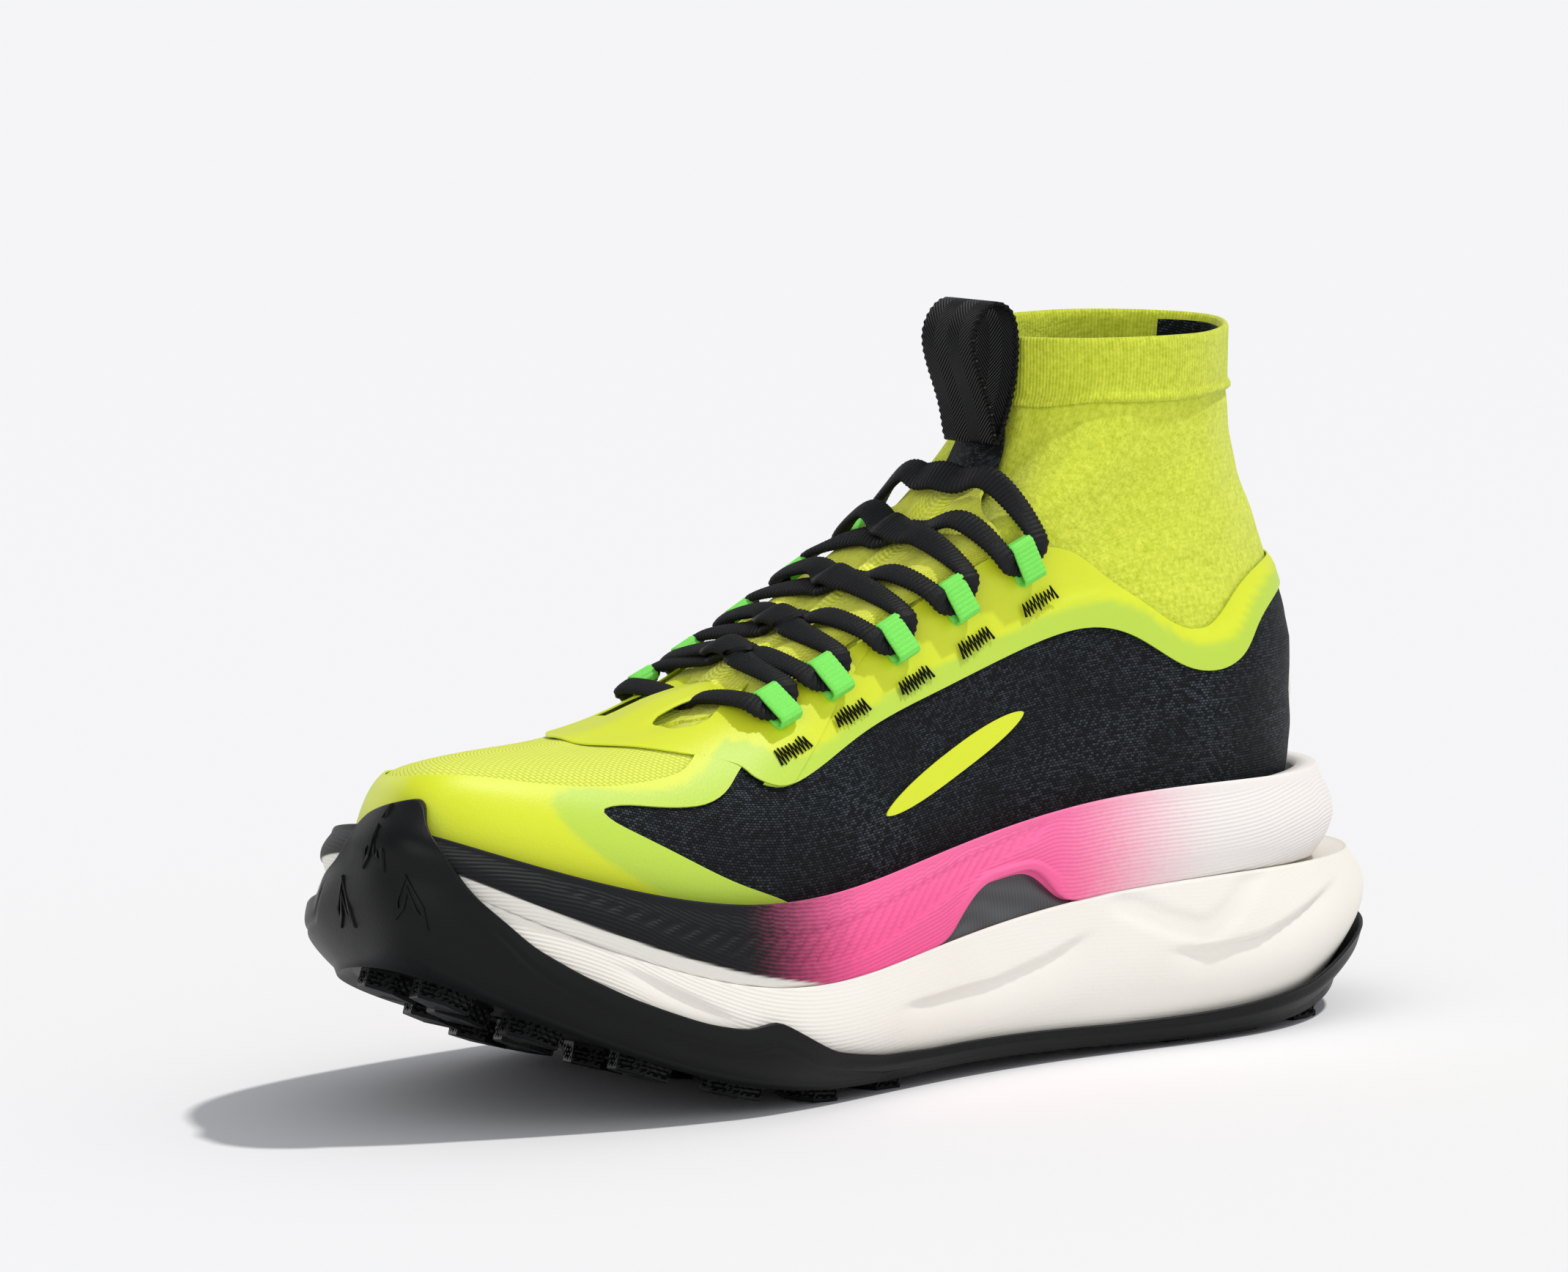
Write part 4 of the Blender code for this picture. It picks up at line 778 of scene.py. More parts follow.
def upper_foam_piece():
    ROUND = dense_round()
    AROUND = len(ROUND)
    seam = upper_foam.at(ROUND, 0.0)
    window = window_lift(ROUND)
    rings, lines, bare = [], [], []
    spray_edge = both_sides(SPRAY_EDGE, ROUND)
    for share in (SMALLEST, 0.6, 0.82, 0.88, 0.95, 0.985):
        ring = glue_ring(seam, share, -FOAM_GAP)
        reach = np.clip((ring[:, 0] + 124) / 5, 0, 1) * np.clip((118 - ring[:, 0]) / 5, 0, 1)
        pocket = np.clip((0.88 - share) / 0.06, 0, 1) * PLATE_POCKET * reach
        opening = window * np.clip((share - 0.88) / 0.07, 0, 1)
        ring[:, 2] += np.maximum(pocket, opening)
        rings.append(ring)
        lines.append(np.zeros(AROUND))
        bare.append(smooth_step(spray_edge / 0.05))
    cuts = cut_lines()
    for v in np.linspace(0, 1, 40):
        points = upper_foam.at(ROUND, v)
        points[:, 2] += window * (1 - v) ** 1.5
        sink = np.zeros(AROUND)
        for line, depth in cuts:
            near = np.linalg.norm(points - line[1], axis=1) < 14
            gap = near_line(points[near], line)
            sink[near] = np.maximum(sink[near], depth * np.exp(-(gap / 0.8)**2))
        rim = v * 20
        lip = 1.1 * (window / 11) * smooth_step(rim / 1.0) * smooth_step((5.2 - rim) / 1.6)
        above = (v - spray_edge) * 20 / 0.5 + 0.5  # the sprayed part stands out a little over the bare foam
        bare.append(smooth_step(1 - above) * smooth_step(spray_edge / 0.05))
        swell = lip - sink + 0.5 * smooth_step((v - 0.86) / 0.14) - 0.45 * bare[-1]
        rings.append(points + swell[:, None] * upper_foam.normal(ROUND, np.full(AROUND, v)))
        lines.append(smooth_step(1 - sink / 0.4) * smooth_step(1 - lip / 0.5)
                     * smooth_step((0.93 - v) / 0.06))
    inner_wall = [upper.at(ROUND, 0.02, CUP_CLEAR + 0.9), upper.at(ROUND, 0.0, CUP_CLEAR),
                  upper.at(ROUND, TUCK / 2, CUP_CLEAR)]
    floor = upper.at(ROUND, TUCK, CUP_CLEAR)
    inner_wall.append(floor - [0, 0, FLOOR_DROP])
    inner_wall += [cup_floor(floor, share) for share in (0.95, 0.6, SMALLEST)]
    rings += inner_wall
    lines += [np.zeros(AROUND)] * len(inner_wall)
    bare += [np.zeros(AROUND)] * len(inner_wall)
    return loft("foam_upper", rings, FADE_FOAM, lines=np.concatenate(lines), bare=np.concatenate(bare))


foam_upper = upper_foam_piece()
print("foam_upper", len(foam_upper.data.polygons), "faces")

# %% [markdown]
# ## Outsole
# A rubber skin runs under the lower foam. Its lip stands a few millimetres up the side, rises to a
# small peak at the ball, and at the toe it wraps up over both foams. The lugs repeat, so Geometry
# Nodes places them: one dimpled chevron block on every point of a list, tilted with the tread.

# %% Rubber skin
FILM_LIFT, FILM_THICK = 1.25, 0.4
RUBBER_GAP, RUBBER_SKIN, RUBBER_SOLE, RUBBER_DROP = 1.1, 2.0, 1.8, 0.4
RUBBER_INNER = [(0, 0.575), (0.04, 0.67), (0.09, 0.73), (0.22, 0.785), (0.42, 0.835), (0.52, 0.845),
                (0.60, 0.81), (0.68, 0.70), (0.76, 0.615), (0.92, 0.48), (1.06, 0.33), (1.26, 0.232),
                (1.42, 0.205), (1.6, 0.19), (1.85, 0.185), (2.0, 0.195), (2.12, 0.235), (2.22, 0.20),
                (2.4, 0.13), (2.7, 0.075), (3.0, 0.05), (4.0, 0.04), (5.0, 0.06), (5.4, 0.11), (6, 0.09)]
RUBBER_OUTER = [(6, 0.09), (6.6, 0.11), (7.0, 0.06), (8.0, 0.04), (9.0, 0.05), (9.3, 0.075), (9.6, 0.13),
                (9.78, 0.20), (9.88, 0.235), (10.0, 0.195), (10.4, 0.19), (10.75, 0.20), (11.1, 0.205),
                (11.53, 0.22), (11.75, 0.39), (11.9, 0.50), (12, 0.575)]


def rubber_surface():
    """What the rubber lies on, from under the foam's edge up over both foams to the toe of the upper."""
    column = np.arange(float(MERIDIANS))
    rows = [lower_foam.at(column, 0.0), lower_foam.at(column, 0.5),
            (lower_foam.at(column, 1.0) + upper_foam.at(column, 0.0)) / 2,
            upper_foam.at(column, 0.5, 0.4), upper_foam.at(column, 1.0, 0.5),
            upper.at(column, 0.12, FILM_LIFT + FILM_THICK), upper.at(column, 0.25, FILM_LIFT + FILM_THICK)]
    return Surface(rows)


rubber = rubber_surface()


def smoothed(values, times):
    """A ring of values with its corners rounded off."""
    for _ in range(times):
        values = (np.roll(values, 1) + 2 * values + np.roll(values, -1)) / 4
    return values


ARROWS = [(0.32, 0.53, 1.15), (-0.09, 0.19, 1.15), (0.63, 0.245, 1.15)]  # (u, v, size) on the rubber


def arrow_points(u, v, size, shape, lift):
    """A flat shape (a across, b up, mm) laid on the rubber at (u, v)."""
    across = np.linalg.norm(rubber.at(u + 0.02, v) - rubber.at(u - 0.02, v)) / 0.04
    up = np.linalg.norm(rubber.at(u, v + 0.02) - rubber.at(u, v - 0.02)) / 0.04
    return rubber.at(u + shape[:, 0] * size / across, v + shape[:, 1] * size / up, lift)


def raised_arrows():
    """Thin raised frames in the form of an arrowhead, with a slanting section, as one object."""
    outer = np.array([(0, 5.2), (2.7, -1.4), (3.0, -4.6), (0.9, -2.6), (0.0, 0.4), (-0.9, -2.6),
                      (-3.0, -4.6), (-2.7, -1.4)])
    inner = np.array([(0, 3.6), (1.75, -1.3), (1.95, -2.6), (1.3, -1.9), (0.0, 1.9), (-1.3, -1.9),
                      (-1.95, -2.6), (-1.75, -1.3)])
    points, faces = [], []
    top = RUBBER_GAP + RUBBER_SKIN
    for u, v, size in ARROWS:
        start = sum(len(p) for p in points)
        for shape, lift in ((outer, top - 0.6), (outer, top + 0.05), (outer * 0.93, top + 0.55),
                            (inner * 1.04, top + 0.5), (inner, top - 0.1), (inner, top - 0.6)):
            points.append(arrow_points(u, v, size, shape, lift))
        count, rings = len(outer), 6
        faces += [tuple(start + (r % rings) * count + c % count
                        for r, c in ((k, i), (k, i + 1), (k + 1, i + 1), (k + 1, i)))
                  for k in range(rings) for i in range(count)]
    made = make("toe_arrow_marks", np.concatenate(points), faces, RUBBER, smooth=False)
    return faces_outward(made)


def rubber_piece():
    inner_side = np.interp(ROUND, *zip(*RUBBER_INNER))
    high = smoothed(np.where(ROUND < 6, inner_side, np.interp(ROUND, *zip(*RUBBER_OUTER))), 2)
    inner, outer = RUBBER_GAP, RUBBER_GAP + RUBBER_SKIN
    edge, under = lower_foam.at(ROUND, 0.0), RUBBER_DROP + RUBBER_SOLE
    rings = [tread_ring(edge, share, under) for share in (SMALLEST, 0.5, 0.7, 0.85, 0.93, 0.975)]
    rings.append(rubber.at(ROUND, 0.0, outer) - [0, 0, under * 0.6])
    for share in np.linspace(0.06, 0.965, 56):
        thin = (0.9 * smooth_step((0.3 - high) / 0.1) + 0.3) * smooth_step((share - 0.55) / 0.45)
        points = rubber.at(ROUND, high * share, outer - thin)
        out = rubber.normal(ROUND, high * share)
        groove = 0.45 * np.exp(-(((1 - share) * high * 44 - 3.2) / 0.5)**2) * (high < 0.3)
        rings.append(points - groove[:, None] * out)
    rings += [rubber.at(ROUND, high * share, inner + lift) for share, lift in ((0.995, 0.6), (1.0, 0.3))]
    rings += [rubber.at(ROUND, high * share, inner) for share in (0.98, 0.9, 0.775, 0.61, 0.45, 0.3, 0.15)]
    rings.append(rubber.at(ROUND, 0.0, inner) - [0, 0, RUBBER_DROP])
    rings += [tread_ring(edge, share, RUBBER_DROP) for share in (0.93, 0.7, SMALLEST)]
    return loft("rubber_sole", rings, RUBBER)


rubber_sole, arrows = rubber_piece(), raised_arrows()
print("rubber_sole", len(rubber_sole.data.polygons), "faces")


# %% Openings in the tread, cut as in the CAD model
def block(name, outline, low, high, finish):
    count = len(outline)
    points = np.vstack([level(np.array(outline, float), low), level(np.array(outline, float), high)])
    faces = [tuple(reversed(range(count))), tuple(range(count, 2 * count))]
    faces += [(i, (i + 1) % count, count + (i + 1) % count, count + i) for i in range(count)]
    return make(name, points, faces, finish, smooth=False)


WINDOWS = [(-101, -6, 20, 7), (-79, -4, 22, 7), (-57, -1, 22, 7), (0, 3, 46, 22), (89, 0, 7, 10)]
for i, (x, y, a, b) in enumerate(WINDOWS):
    cutter = block(f"cutter_{i}", [(x - a / 2, y), (x, y - b / 2), (x + a / 2, y), (x, y + b / 2)], -20, 60,
                   RUBBER)
    cut = rubber_sole.modifiers.new("cut", "BOOLEAN")
    cut.operation, cut.object = "DIFFERENCE", cutter
baked = bpy.data.meshes.new_from_object(rubber_sole.evaluated_get(bpy.context.evaluated_depsgraph_get()))
rubber_sole.modifiers.clear()
rubber_sole.data = baked
for thing in [o for o in scene.objects if o.name.startswith("cutter_")]:
    bpy.data.objects.remove(thing, do_unlink=True)
print("tread cut,", len(rubber_sole.data.polygons), "faces")

# %% [markdown]
# ### Lugs
# A lug is a swept block whose sides carry rows of small round pits, which grip in mud. The block is
# made once, 5 mm high, and a Geometry Nodes tree sets one on each point of a cloud, turned to the
# slope of the tread by an attribute.

# %% One lug block
LUG_HEIGHT = 5.0


def lug_mesh():
    """A chevron block 8 x 15 mm with pits in its sides, its top at z = 0 and hanging down."""
    corners = np.array([(-4.0, 0), (-0.5, -7.5), (7.5, -7.5), (4.0, 0), (7.5, 7.5), (-0.5, 7.5)])
    corners = corners * [0.95, 0.97]
    outline = []
    for a, b in zip(corners, np.roll(corners, -1, axis=0)):
        steps = max(int(np.linalg.norm(b - a) / 0.62), 2)
        outline += [a + (b - a) * k / steps for k in range(steps)]
    outline = np.array(outline)
    ahead = np.roll(outline, -1, axis=0) - np.roll(outline, 1, axis=0)
    out = np.column_stack([ahead[:, 1], -ahead[:, 0]])
    out /= np.linalg.norm(out, axis=1, keepdims=True)
    length = np.cumsum(np.linalg.norm(ahead, axis=1) / 2)
    rings = []
    for z in (0.9, 0.0, -0.7, -1.2, -1.7, -2.2, -2.7, -3.2, -3.7, -4.2, -4.75, -5.0):
        row = int(round(-z / 1.0)) % 2
        pit = (np.cos(2 * math.pi * (length / 2.4 + 0.5 * row)) > 0.35) & (-3.8 < z < -0.8)
        inset = 0.55 * pit * (abs(-z - round(-z / 1.0) * 1.0) < 0.35)
        draft = 0.08 * -z + (0.25 if z < -4.9 else 0.0)
        rings.append(np.column_stack([outline - out * (inset + draft)[:, None], np.full(len(outline), z)]))
    count = len(outline)
    faces = [tuple(reversed(face)) for face in grid_faces(len(rings), count, closed=True)]
    faces += [tuple(range(count)), tuple((len(rings) - 1) * count + i for i in reversed(range(count)))]
    mesh = bpy.data.meshes.new("lug block")
    mesh.from_pydata((np.concatenate(rings) * 0.001).tolist(), [], faces)
    solid = bmesh.new()
    solid.from_mesh(mesh)
    bmesh.ops.recalc_face_normals(solid, faces=solid.faces)
    solid.to_mesh(mesh)
    solid.free()
    return mesh


# %% The tree that sets a block on each point
def socket_of(tree, name):
    """The identifier of a group input, which is what a modifier's value is set by."""
    return next(item.identifier for item in tree.interface.items_tree if item.name == name)


def placing_tree(name):
    """Geometry Nodes: one copy of `Block` on each point, turned by the attribute `turn`."""
    tree = bpy.data.node_groups.new(name, "GeometryNodeTree")
    tree.is_modifier = True
    tree.interface.new_socket("Geometry", in_out="INPUT", socket_type="NodeSocketGeometry")
    tree.interface.new_socket("Block", in_out="INPUT", socket_type="NodeSocketObject")
    tree.interface.new_socket("Size", in_out="INPUT", socket_type="NodeSocketFloat").default_value = 1.0
    tree.interface.new_socket("Finish", in_out="INPUT", socket_type="NodeSocketMaterial")
    tree.interface.new_socket("Geometry", in_out="OUTPUT", socket_type="NodeSocketGeometry")
    given = add(tree, "NodeGroupInput").outputs
    turn = add(tree, "GeometryNodeInputNamedAttribute", {"Name": "turn"}, data_type="FLOAT_VECTOR")
    one = add(tree, "GeometryNodeObjectInfo", {"Object": given["Block"]})
    copies = add(tree, "GeometryNodeInstanceOnPoints",
                 {"Points": given["Geometry"], "Instance": one.outputs["Geometry"],
                  "Rotation": turn.outputs["Attribute"], "Scale": given["Size"]})
    real = add(tree, "GeometryNodeRealizeInstances", {"Geometry": copies.outputs[0]})
    done = add(tree, "GeometryNodeSetMaterial", {"Geometry": real.outputs[0], "Material": given["Finish"]})
    add(tree, "NodeGroupOutput", {0: done.outputs[0]})
    return tree


def set_on_points(name, spots, turns, block_mesh, finish):
    """Bakes the tree on a cloud of points into one plain mesh object."""
    helper = bpy.data.objects.new(name + " block", block_mesh)
    scene.collection.objects.link(helper)
    cloud = bpy.data.meshes.new(name)
    cloud.from_pydata(((np.array(spots) + ORIGIN) * 0.001).tolist(), [], [])
    cloud.attributes.new("turn", "FLOAT_VECTOR", "POINT").data.foreach_set("vector", np.ravel(turns))
    made = bpy.data.objects.new(name, cloud)
    scene.collection.objects.link(made)
    tree = placing_tree(name + " placing")
    step = made.modifiers.new("placing", "NODES")
    step.node_group = tree
    step[socket_of(tree, "Block")] = helper
    step[socket_of(tree, "Finish")] = finish
    bpy.context.view_layer.update()
    mesh = bpy.data.meshes.new_from_object(made.evaluated_get(bpy.context.evaluated_depsgraph_get()))
    made.modifiers.clear()
    made.data = mesh
    bpy.data.objects.remove(helper, do_unlink=True)
    return made


LUG_ROWS = [(-138.5, -18, 2), (-118, -24, 12), (-96, -36, 24), (-74, -42, 36), (-52, -42, 40),
            (-30, -38, 40), (66, -33, 34), (88, -33, 33), (110, -30, 29)]
MIDDLE_LUGS = [-127, -106, -84, -62, -40, 78, 100]
spots = [(x, y) for x, inner, outer in LUG_ROWS for y in (inner, outer)]
spots += [(x, float(curve(MIDDLE_LINE, [x])[0]) - 3) for x in MIDDLE_LUGS]
places, turns = [], []
for x, y in spots:
    skin = float(curve(TREAD_LINE, [x])[0]) - RUBBER_DROP - RUBBER_SOLE
    slope = float(curve(TREAD_LINE, [x + 3])[0] - curve(TREAD_LINE, [x - 3])[0]) / 6
    places.append((x, y, max(skin, LUG_HEIGHT)))
    turns.append((0.0, -math.atan(slope), 0.0))
lugs = set_on_points("tread_lugs", places, turns, lug_mesh(), RUBBER)
print("tread_lugs", len(lugs.data.polygons), "faces")

# %% [markdown]
# ## The upper's cloths and films
# Each is a flat cut piece pulled over the last. Its outline is drawn in (u, v) as runs of
# listed points that are smooth inside a run and meet at corners. The inside is filled with an
# even net of points by Delaunay triangulation, and the net is then laid on the upper's surface.
# Solidify gives the cloth its thickness.

# %% Outlines and nets
U_MM, V_MM = 40.0, 118.0  # about how long one unit of u and of v is on the shoe's side, mm


def run(points, step=1.4):
    """Evenly spaced points of a smooth line through hand-placed (u, v) points."""
    points = np.array(points, float)
    flat = points * [U_MM, V_MM]
    length = np.concatenate([[0], np.cumsum(np.linalg.norm(np.diff(flat, axis=0), axis=1))])
    places = np.linspace(0, length[-1], max(int(length[-1] / step), 1) + 1)
    if len(points) < 3:
        return np.column_stack([np.interp(places, length, points[:, k]) for k in (0, 1)])
    return spline_weights(length, places) @ points


def outline(*runs):
    """A closed outline from smooth runs that meet at corners."""
    lines = [run(points) for points in runs]
    return np.concatenate([line[:-1] for line in lines])


def flipped(points):
    """The same points on the outer side, in the order that keeps a closed outline turning one way."""
    return [(-u, v) for u, v in reversed(points)]


def inside_of(points, loop):
    """Which points lie inside a closed outline."""
    x, y = points[:, 0:1], points[:, 1:2]
    x0, y0 = loop[:, 0], loop[:, 1]
    x1, y1 = np.roll(x0, -1), np.roll(y0, -1)
    with np.errstate(divide="ignore", invalid="ignore"):
        crosses = ((y0 > y) != (y1 > y)) & (x < (x1 - x0) * (y - y0) / (y1 - y0) + x0)
    return crosses.sum(axis=1) % 2 == 1


def net(loop, spacing, holes=()):
    """Points and triangles that fill an outline in (u, v)."""
    scale = np.array([U_MM, V_MM])
    flat = loop * scale
    low, high = flat.min(axis=0), flat.max(axis=0)
    xs, ys = (np.arange(low[k] + spacing / 2, high[k], spacing) for k in (0, 1))
    grid = np.stack(np.meshgrid(xs, ys), axis=-1).reshape(-1, 2)
    edges = [flat] + [hole * scale for hole in holes]
    for k, edge in enumerate(edges):
        within = inside_of(grid, edge)
        grid = grid[within if k == 0 else ~within]
    border = np.concatenate(edges)
    far = np.array([np.min(np.hypot(*(border - p).T)) > 0.55 * spacing for p in grid])
    points = np.concatenate([border, grid[far]])
    loops, start = [], 0
    for edge in edges:
        loops.append([(start + i, start + (i + 1) % len(edge)) for i in range(len(edge))])
        start += len(edge)
    done = delaunay_2d_cdt([Vector(p) for p in points], [pair for each in loops for pair in each], [], 0,
                           1e-6)
    verts, faces = np.array([tuple(v) for v in done[0]]), np.array(done[2])
    middle = verts[faces].mean(axis=1)
    keep = inside_of(middle, edges[0])
    for edge in edges[1:]:
        keep &= ~inside_of(middle, edge)
    faces = faces[keep]
    used, faces = np.unique(faces, return_inverse=True)
    return verts[used] / scale, faces.reshape(-1, 3)


# %% A UV map in millimetres along the cloth
TABLE_U, TABLE_V = np.arange(-8, 20.001, 0.05), np.linspace(TUCK, 1.0, 117)
_grid = upper.at(TABLE_U[:, None], TABLE_V[None, :])
CLIMB = np.concatenate([np.zeros((len(TABLE_U), 1)),
                        np.cumsum(np.linalg.norm(np.diff(_grid, axis=1), axis=2), axis=1)], axis=1)


def cloth_uv(u, v, at=0.3):
    """Millimetres round the shoe, measured at the height `at`, and up it."""
    row = upper.at(TABLE_U, at)
    along = np.concatenate([[0], np.cumsum(np.linalg.norm(np.diff(row, axis=0), axis=1))])
    column = np.clip((u - TABLE_U[0]) / 0.05, 0, len(TABLE_U) - 2)
    line = np.clip((v - TUCK) / (TABLE_V[1] - TABLE_V[0]), 0, len(TABLE_V) - 2)
    i, j = column.astype(int), line.astype(int)
    a, b = column - i, line - j
    up = ((1 - a) * (1 - b) * CLIMB[i, j] + a * (1 - b) * CLIMB[i + 1, j]
          + (1 - a) * b * CLIMB[i, j + 1] + a * b * CLIMB[i + 1, j + 1])
    return np.column_stack([np.interp(u, TABLE_U, along), up])


def under(points, uv, loops, lift):
    """1 where black cloth lies underneath, 0 elsewhere, turning over about a millimetre and a half."""
    best = np.zeros(len(points))
    for loop in loops:
        edge = upper.at(*np.vstack([loop, loop[:1]]).T, np.mean(lift))
        far = near_line(points, edge) * np.where(inside_of(uv, loop), 1, -1)
        best = np.maximum(best, smooth_step((far + 0.8) / 1.6))
    return best


def cut_piece(name, loop, lift, thick, finish, spacing=2.4, holes=(), over=None, ripple=None, at=0.3):
    """A piece of cloth or film laid on the upper, thickened outwards."""
    uv, faces = net(loop, spacing, holes)
    u, v = uv.T
    raised = lift + (ripple(u, v) if ripple else 0.0)
    points = upper.at(u, v, raised)
    a, b, c = points[faces[0]]
    if np.cross(b - a, c - a) @ upper.normal(u[faces[0][:1]], v[faces[0][:1]])[0] < 0:
        faces = faces[:, ::-1]
    more = {}
    if over is not None:
        more["over_black"] = under(points, uv, over, raised)
    made = make(name, points, faces.tolist(), finish, uv=cloth_uv(u, v, at), **more)
    wall = made.modifiers.new("thickness", "SOLIDIFY")
    wall.thickness, wall.offset = thick * 0.001, 1.0
    baked = bpy.data.meshes.new_from_object(made.evaluated_get(bpy.context.evaluated_depsgraph_get()))
    made.modifiers.clear()
    baked.set_sharp_from_angle(angle=math.radians(50))  # a cut edge stays crisp
    made.data = baked
    return made


# %% [markdown]
# ### Quarters and vamp
# The black weave covers both sides from the toe's flank to the back of the heel, and the pale mesh
# the top of the toes. They meet and hide under the film. A faint swelling along the heel shows the
# edge of the stiffener underneath.

# %% Quarters, vamp
CLOTH = 1.0
CLOTH_TOP = [(1.78, 0.405), (1.95, 0.382), (2.15, 0.332), (2.27, 0.342), (2.5, 0.395), (2.93, 0.427),
             (3.38, 0.452), (3.62, 0.464), (3.88, 0.462), (4.15, 0.431), (4.35, 0.385), (4.55, 0.341),
             (4.70, 0.332), (4.88, 0.354), (5.03, 0.40), (5.3, 0.44), (5.65, 0.455), (5.985, 0.457)]
CLOTH_FRONT = [(1.78, 0.405), (1.775, 0.34), (1.745, 0.298), (1.66, 0.276), (1.45, 0.264), (1.315, 0.252),
               (1.262, 0.216), (1.30, 0.17), (1.45, 0.112), (1.72, 0.045), (1.95, -0.04), (2.1, -0.14)]


def heel_swell(u, v):
    """The stiffener's edge seen through the cloth, and slow waves in the fabric."""
    side = np.abs(np.mod(u + 6, MERIDIANS) - 6)
    edge = np.exp(-((v - 0.27 + 0.05 * (5 - side)) / 0.02)**2) * smooth_step((side - 4.3) / 0.4)
    waves = 0.25 * np.sin(5.1 * side + 17 * v) * np.sin(31 * v - 2.2 * side) * smooth_step(v / 0.1)
    # the back is nearly straight
    slim = 2.2 * smooth_step((side - 4.9) / 0.8) * np.exp(-((v - 0.20) / 0.13)**2)
    return 0.35 * edge + waves * smooth_step((0.45 - v) / 0.1) - slim


def quarter(name, side):
    loop = QUARTER_LOOP if side < 0 else QUARTER_LOOP[::-1] * [-1, 1] + [MERIDIANS, 0]
    return cut_piece(name, loop, 0.0, CLOTH, WEAVE, ripple=heel_swell, at=0.2)


QUARTER_LOOP = outline(CLOTH_TOP[::-1], CLOTH_FRONT,
                       [(2.1, -0.14), (3, -0.14), (4, -0.14), (5, -0.14), (5.985, -0.14)],
                       [(5.985, -0.14), (5.985, 0.457)])


quarter_inner, quarter_outer = quarter("quarter_weave_inner", -1), quarter("quarter_weave_outer", 1)
VAMP_EDGE = [(0, 0.52), (0.6, 0.52), (1.0, 0.50), (1.4, 0.455), (1.765, 0.40)]
VAMP_LOW = [(1.765, 0.40), (1.73, 0.31), (1.45, 0.27), (1.24, 0.21), (1.1, 0.02), (0.5, -0.10), (0, -0.12)]
vamp_loop = outline(flipped(VAMP_EDGE)[:-1] + VAMP_EDGE, VAMP_LOW[:-1] + flipped(VAMP_LOW))


def toe_creases(u, v):
    """Soft dents where the mesh gives over the toes."""
    return 0.28 * np.sin(3.3 * u + 21 * v) * np.sin(9 * v + 1.7 * u)


vamp = cut_piece("vamp_mesh_cloth", vamp_loop, 0.0, CLOTH - 0.15, VAMP, ripple=toe_creases, at=0.25)
print("quarters and vamp", len(quarter_inner.data.polygons), len(vamp.data.polygons), "triangles")

# %% [markdown]
# ### Film overlays
# Three pieces of film: a cap that wraps the toe and runs back under the black weave's point, a bridge
# over the front of the throat with a slot for the lowest lace, and a long band that carries the lace
# loops, sweeps under the ankle and rises behind the heel. The bridge overlaps the band along a thin
# seam. The attribute `over_black` marks where weave lies under the film's edge.

# %% The toe cap film
TOE_FRONT = [(2.34, -0.02), (2.30, 0.008), (2.02, 0.083), (1.78, 0.133), (1.58, 0.170), (1.485, 0.192),
             (1.462, 0.206), (1.50, 0.222), (1.62, 0.232), (1.76, 0.238), (1.85, 0.250), (1.905, 0.274),
             (1.93, 0.312), (1.945, 0.345)]
TAB_TOP = [(1.945, 0.345), (1.80, 0.372), (1.69, 0.384)]
MESH_EDGE = [(1.69, 0.384), (1.705, 0.352), (1.69, 0.325), (1.62, 0.303), (1.50, 0.279), (1.20, 0.250),
             (0.88, 0.236), (0.50, 0.215), (0.23, 0.202), (0, 0.198)]
BOTTOM = [(0, -0.03), (1.2, -0.03), (2.34, -0.02)]
half = [TOE_FRONT, TAB_TOP, MESH_EDGE]
toe_loop = outline(BOTTOM, *half, flipped(MESH_EDGE), flipped(TAB_TOP), flipped(TOE_FRONT),
                   flipped(BOTTOM))
QUARTER_TWIN = QUARTER_LOOP[::-1] * [-1, 1]
toe_cap = cut_piece("toe_cap_film_sheet", toe_loop, FILM_LIFT, FILM_THICK, FILM, spacing=1.5,
                    over=[QUARTER_LOOP, QUARTER_TWIN])
print("toe_cap_film_sheet", len(toe_cap.data.polygons), "triangles")

# %% The bridge and the eyestay band
SIDE_LOW = [(2.06, 0.287), (2.15, 0.276), (2.27, 0.290), (2.50, 0.343), (2.93, 0.375), (3.38, 0.400),
            (3.62, 0.412), (3.88, 0.410), (4.15, 0.379), (4.35, 0.333), (4.55, 0.289), (4.70, 0.280),
            (4.88, 0.302), (5.03, 0.352), (5.3, 0.398), (5.65, 0.418), (6, 0.42)]
SIDE_HIGH = [(6, 0.485), (5.65, 0.482), (5.3, 0.474), (5.05, 0.452), (4.90, 0.425), (4.77, 0.392),
             (4.66, 0.372), (4.50, 0.376), (4.30, 0.417), (3.90, 0.508), (3.53, 0.583), (3.25, 0.613),
             (3.05, 0.629)]
THROAT = [(3.05, 0.629), (2.88, 0.640), (2.70, 0.634), (2.40, 0.596), (2.23, 0.556), (2.10, 0.530)]
SEAM = [(2.10, 0.530), (2.14, 0.45), (2.12, 0.36), (2.06, 0.287)]


def band_loop(side):
    loop = outline(SIDE_LOW, [(6, 0.42), (6, 0.485)], SIDE_HIGH, THROAT, SEAM)
    return loop if side < 0 else loop[::-1] * [-1, 1] + [MERIDIANS, 0]


def band_drop(u, v):
    """Behind the throat the film's upper edge comes down to the knit."""
    side = np.abs(np.mod(u + 6, MERIDIANS) - 6)
    top = np.interp(side, *zip(*CLOTH_TOP))
    return -1.15 * smooth_step((side - 3.15) / 0.5) * smooth_step((v - top) / 0.035)


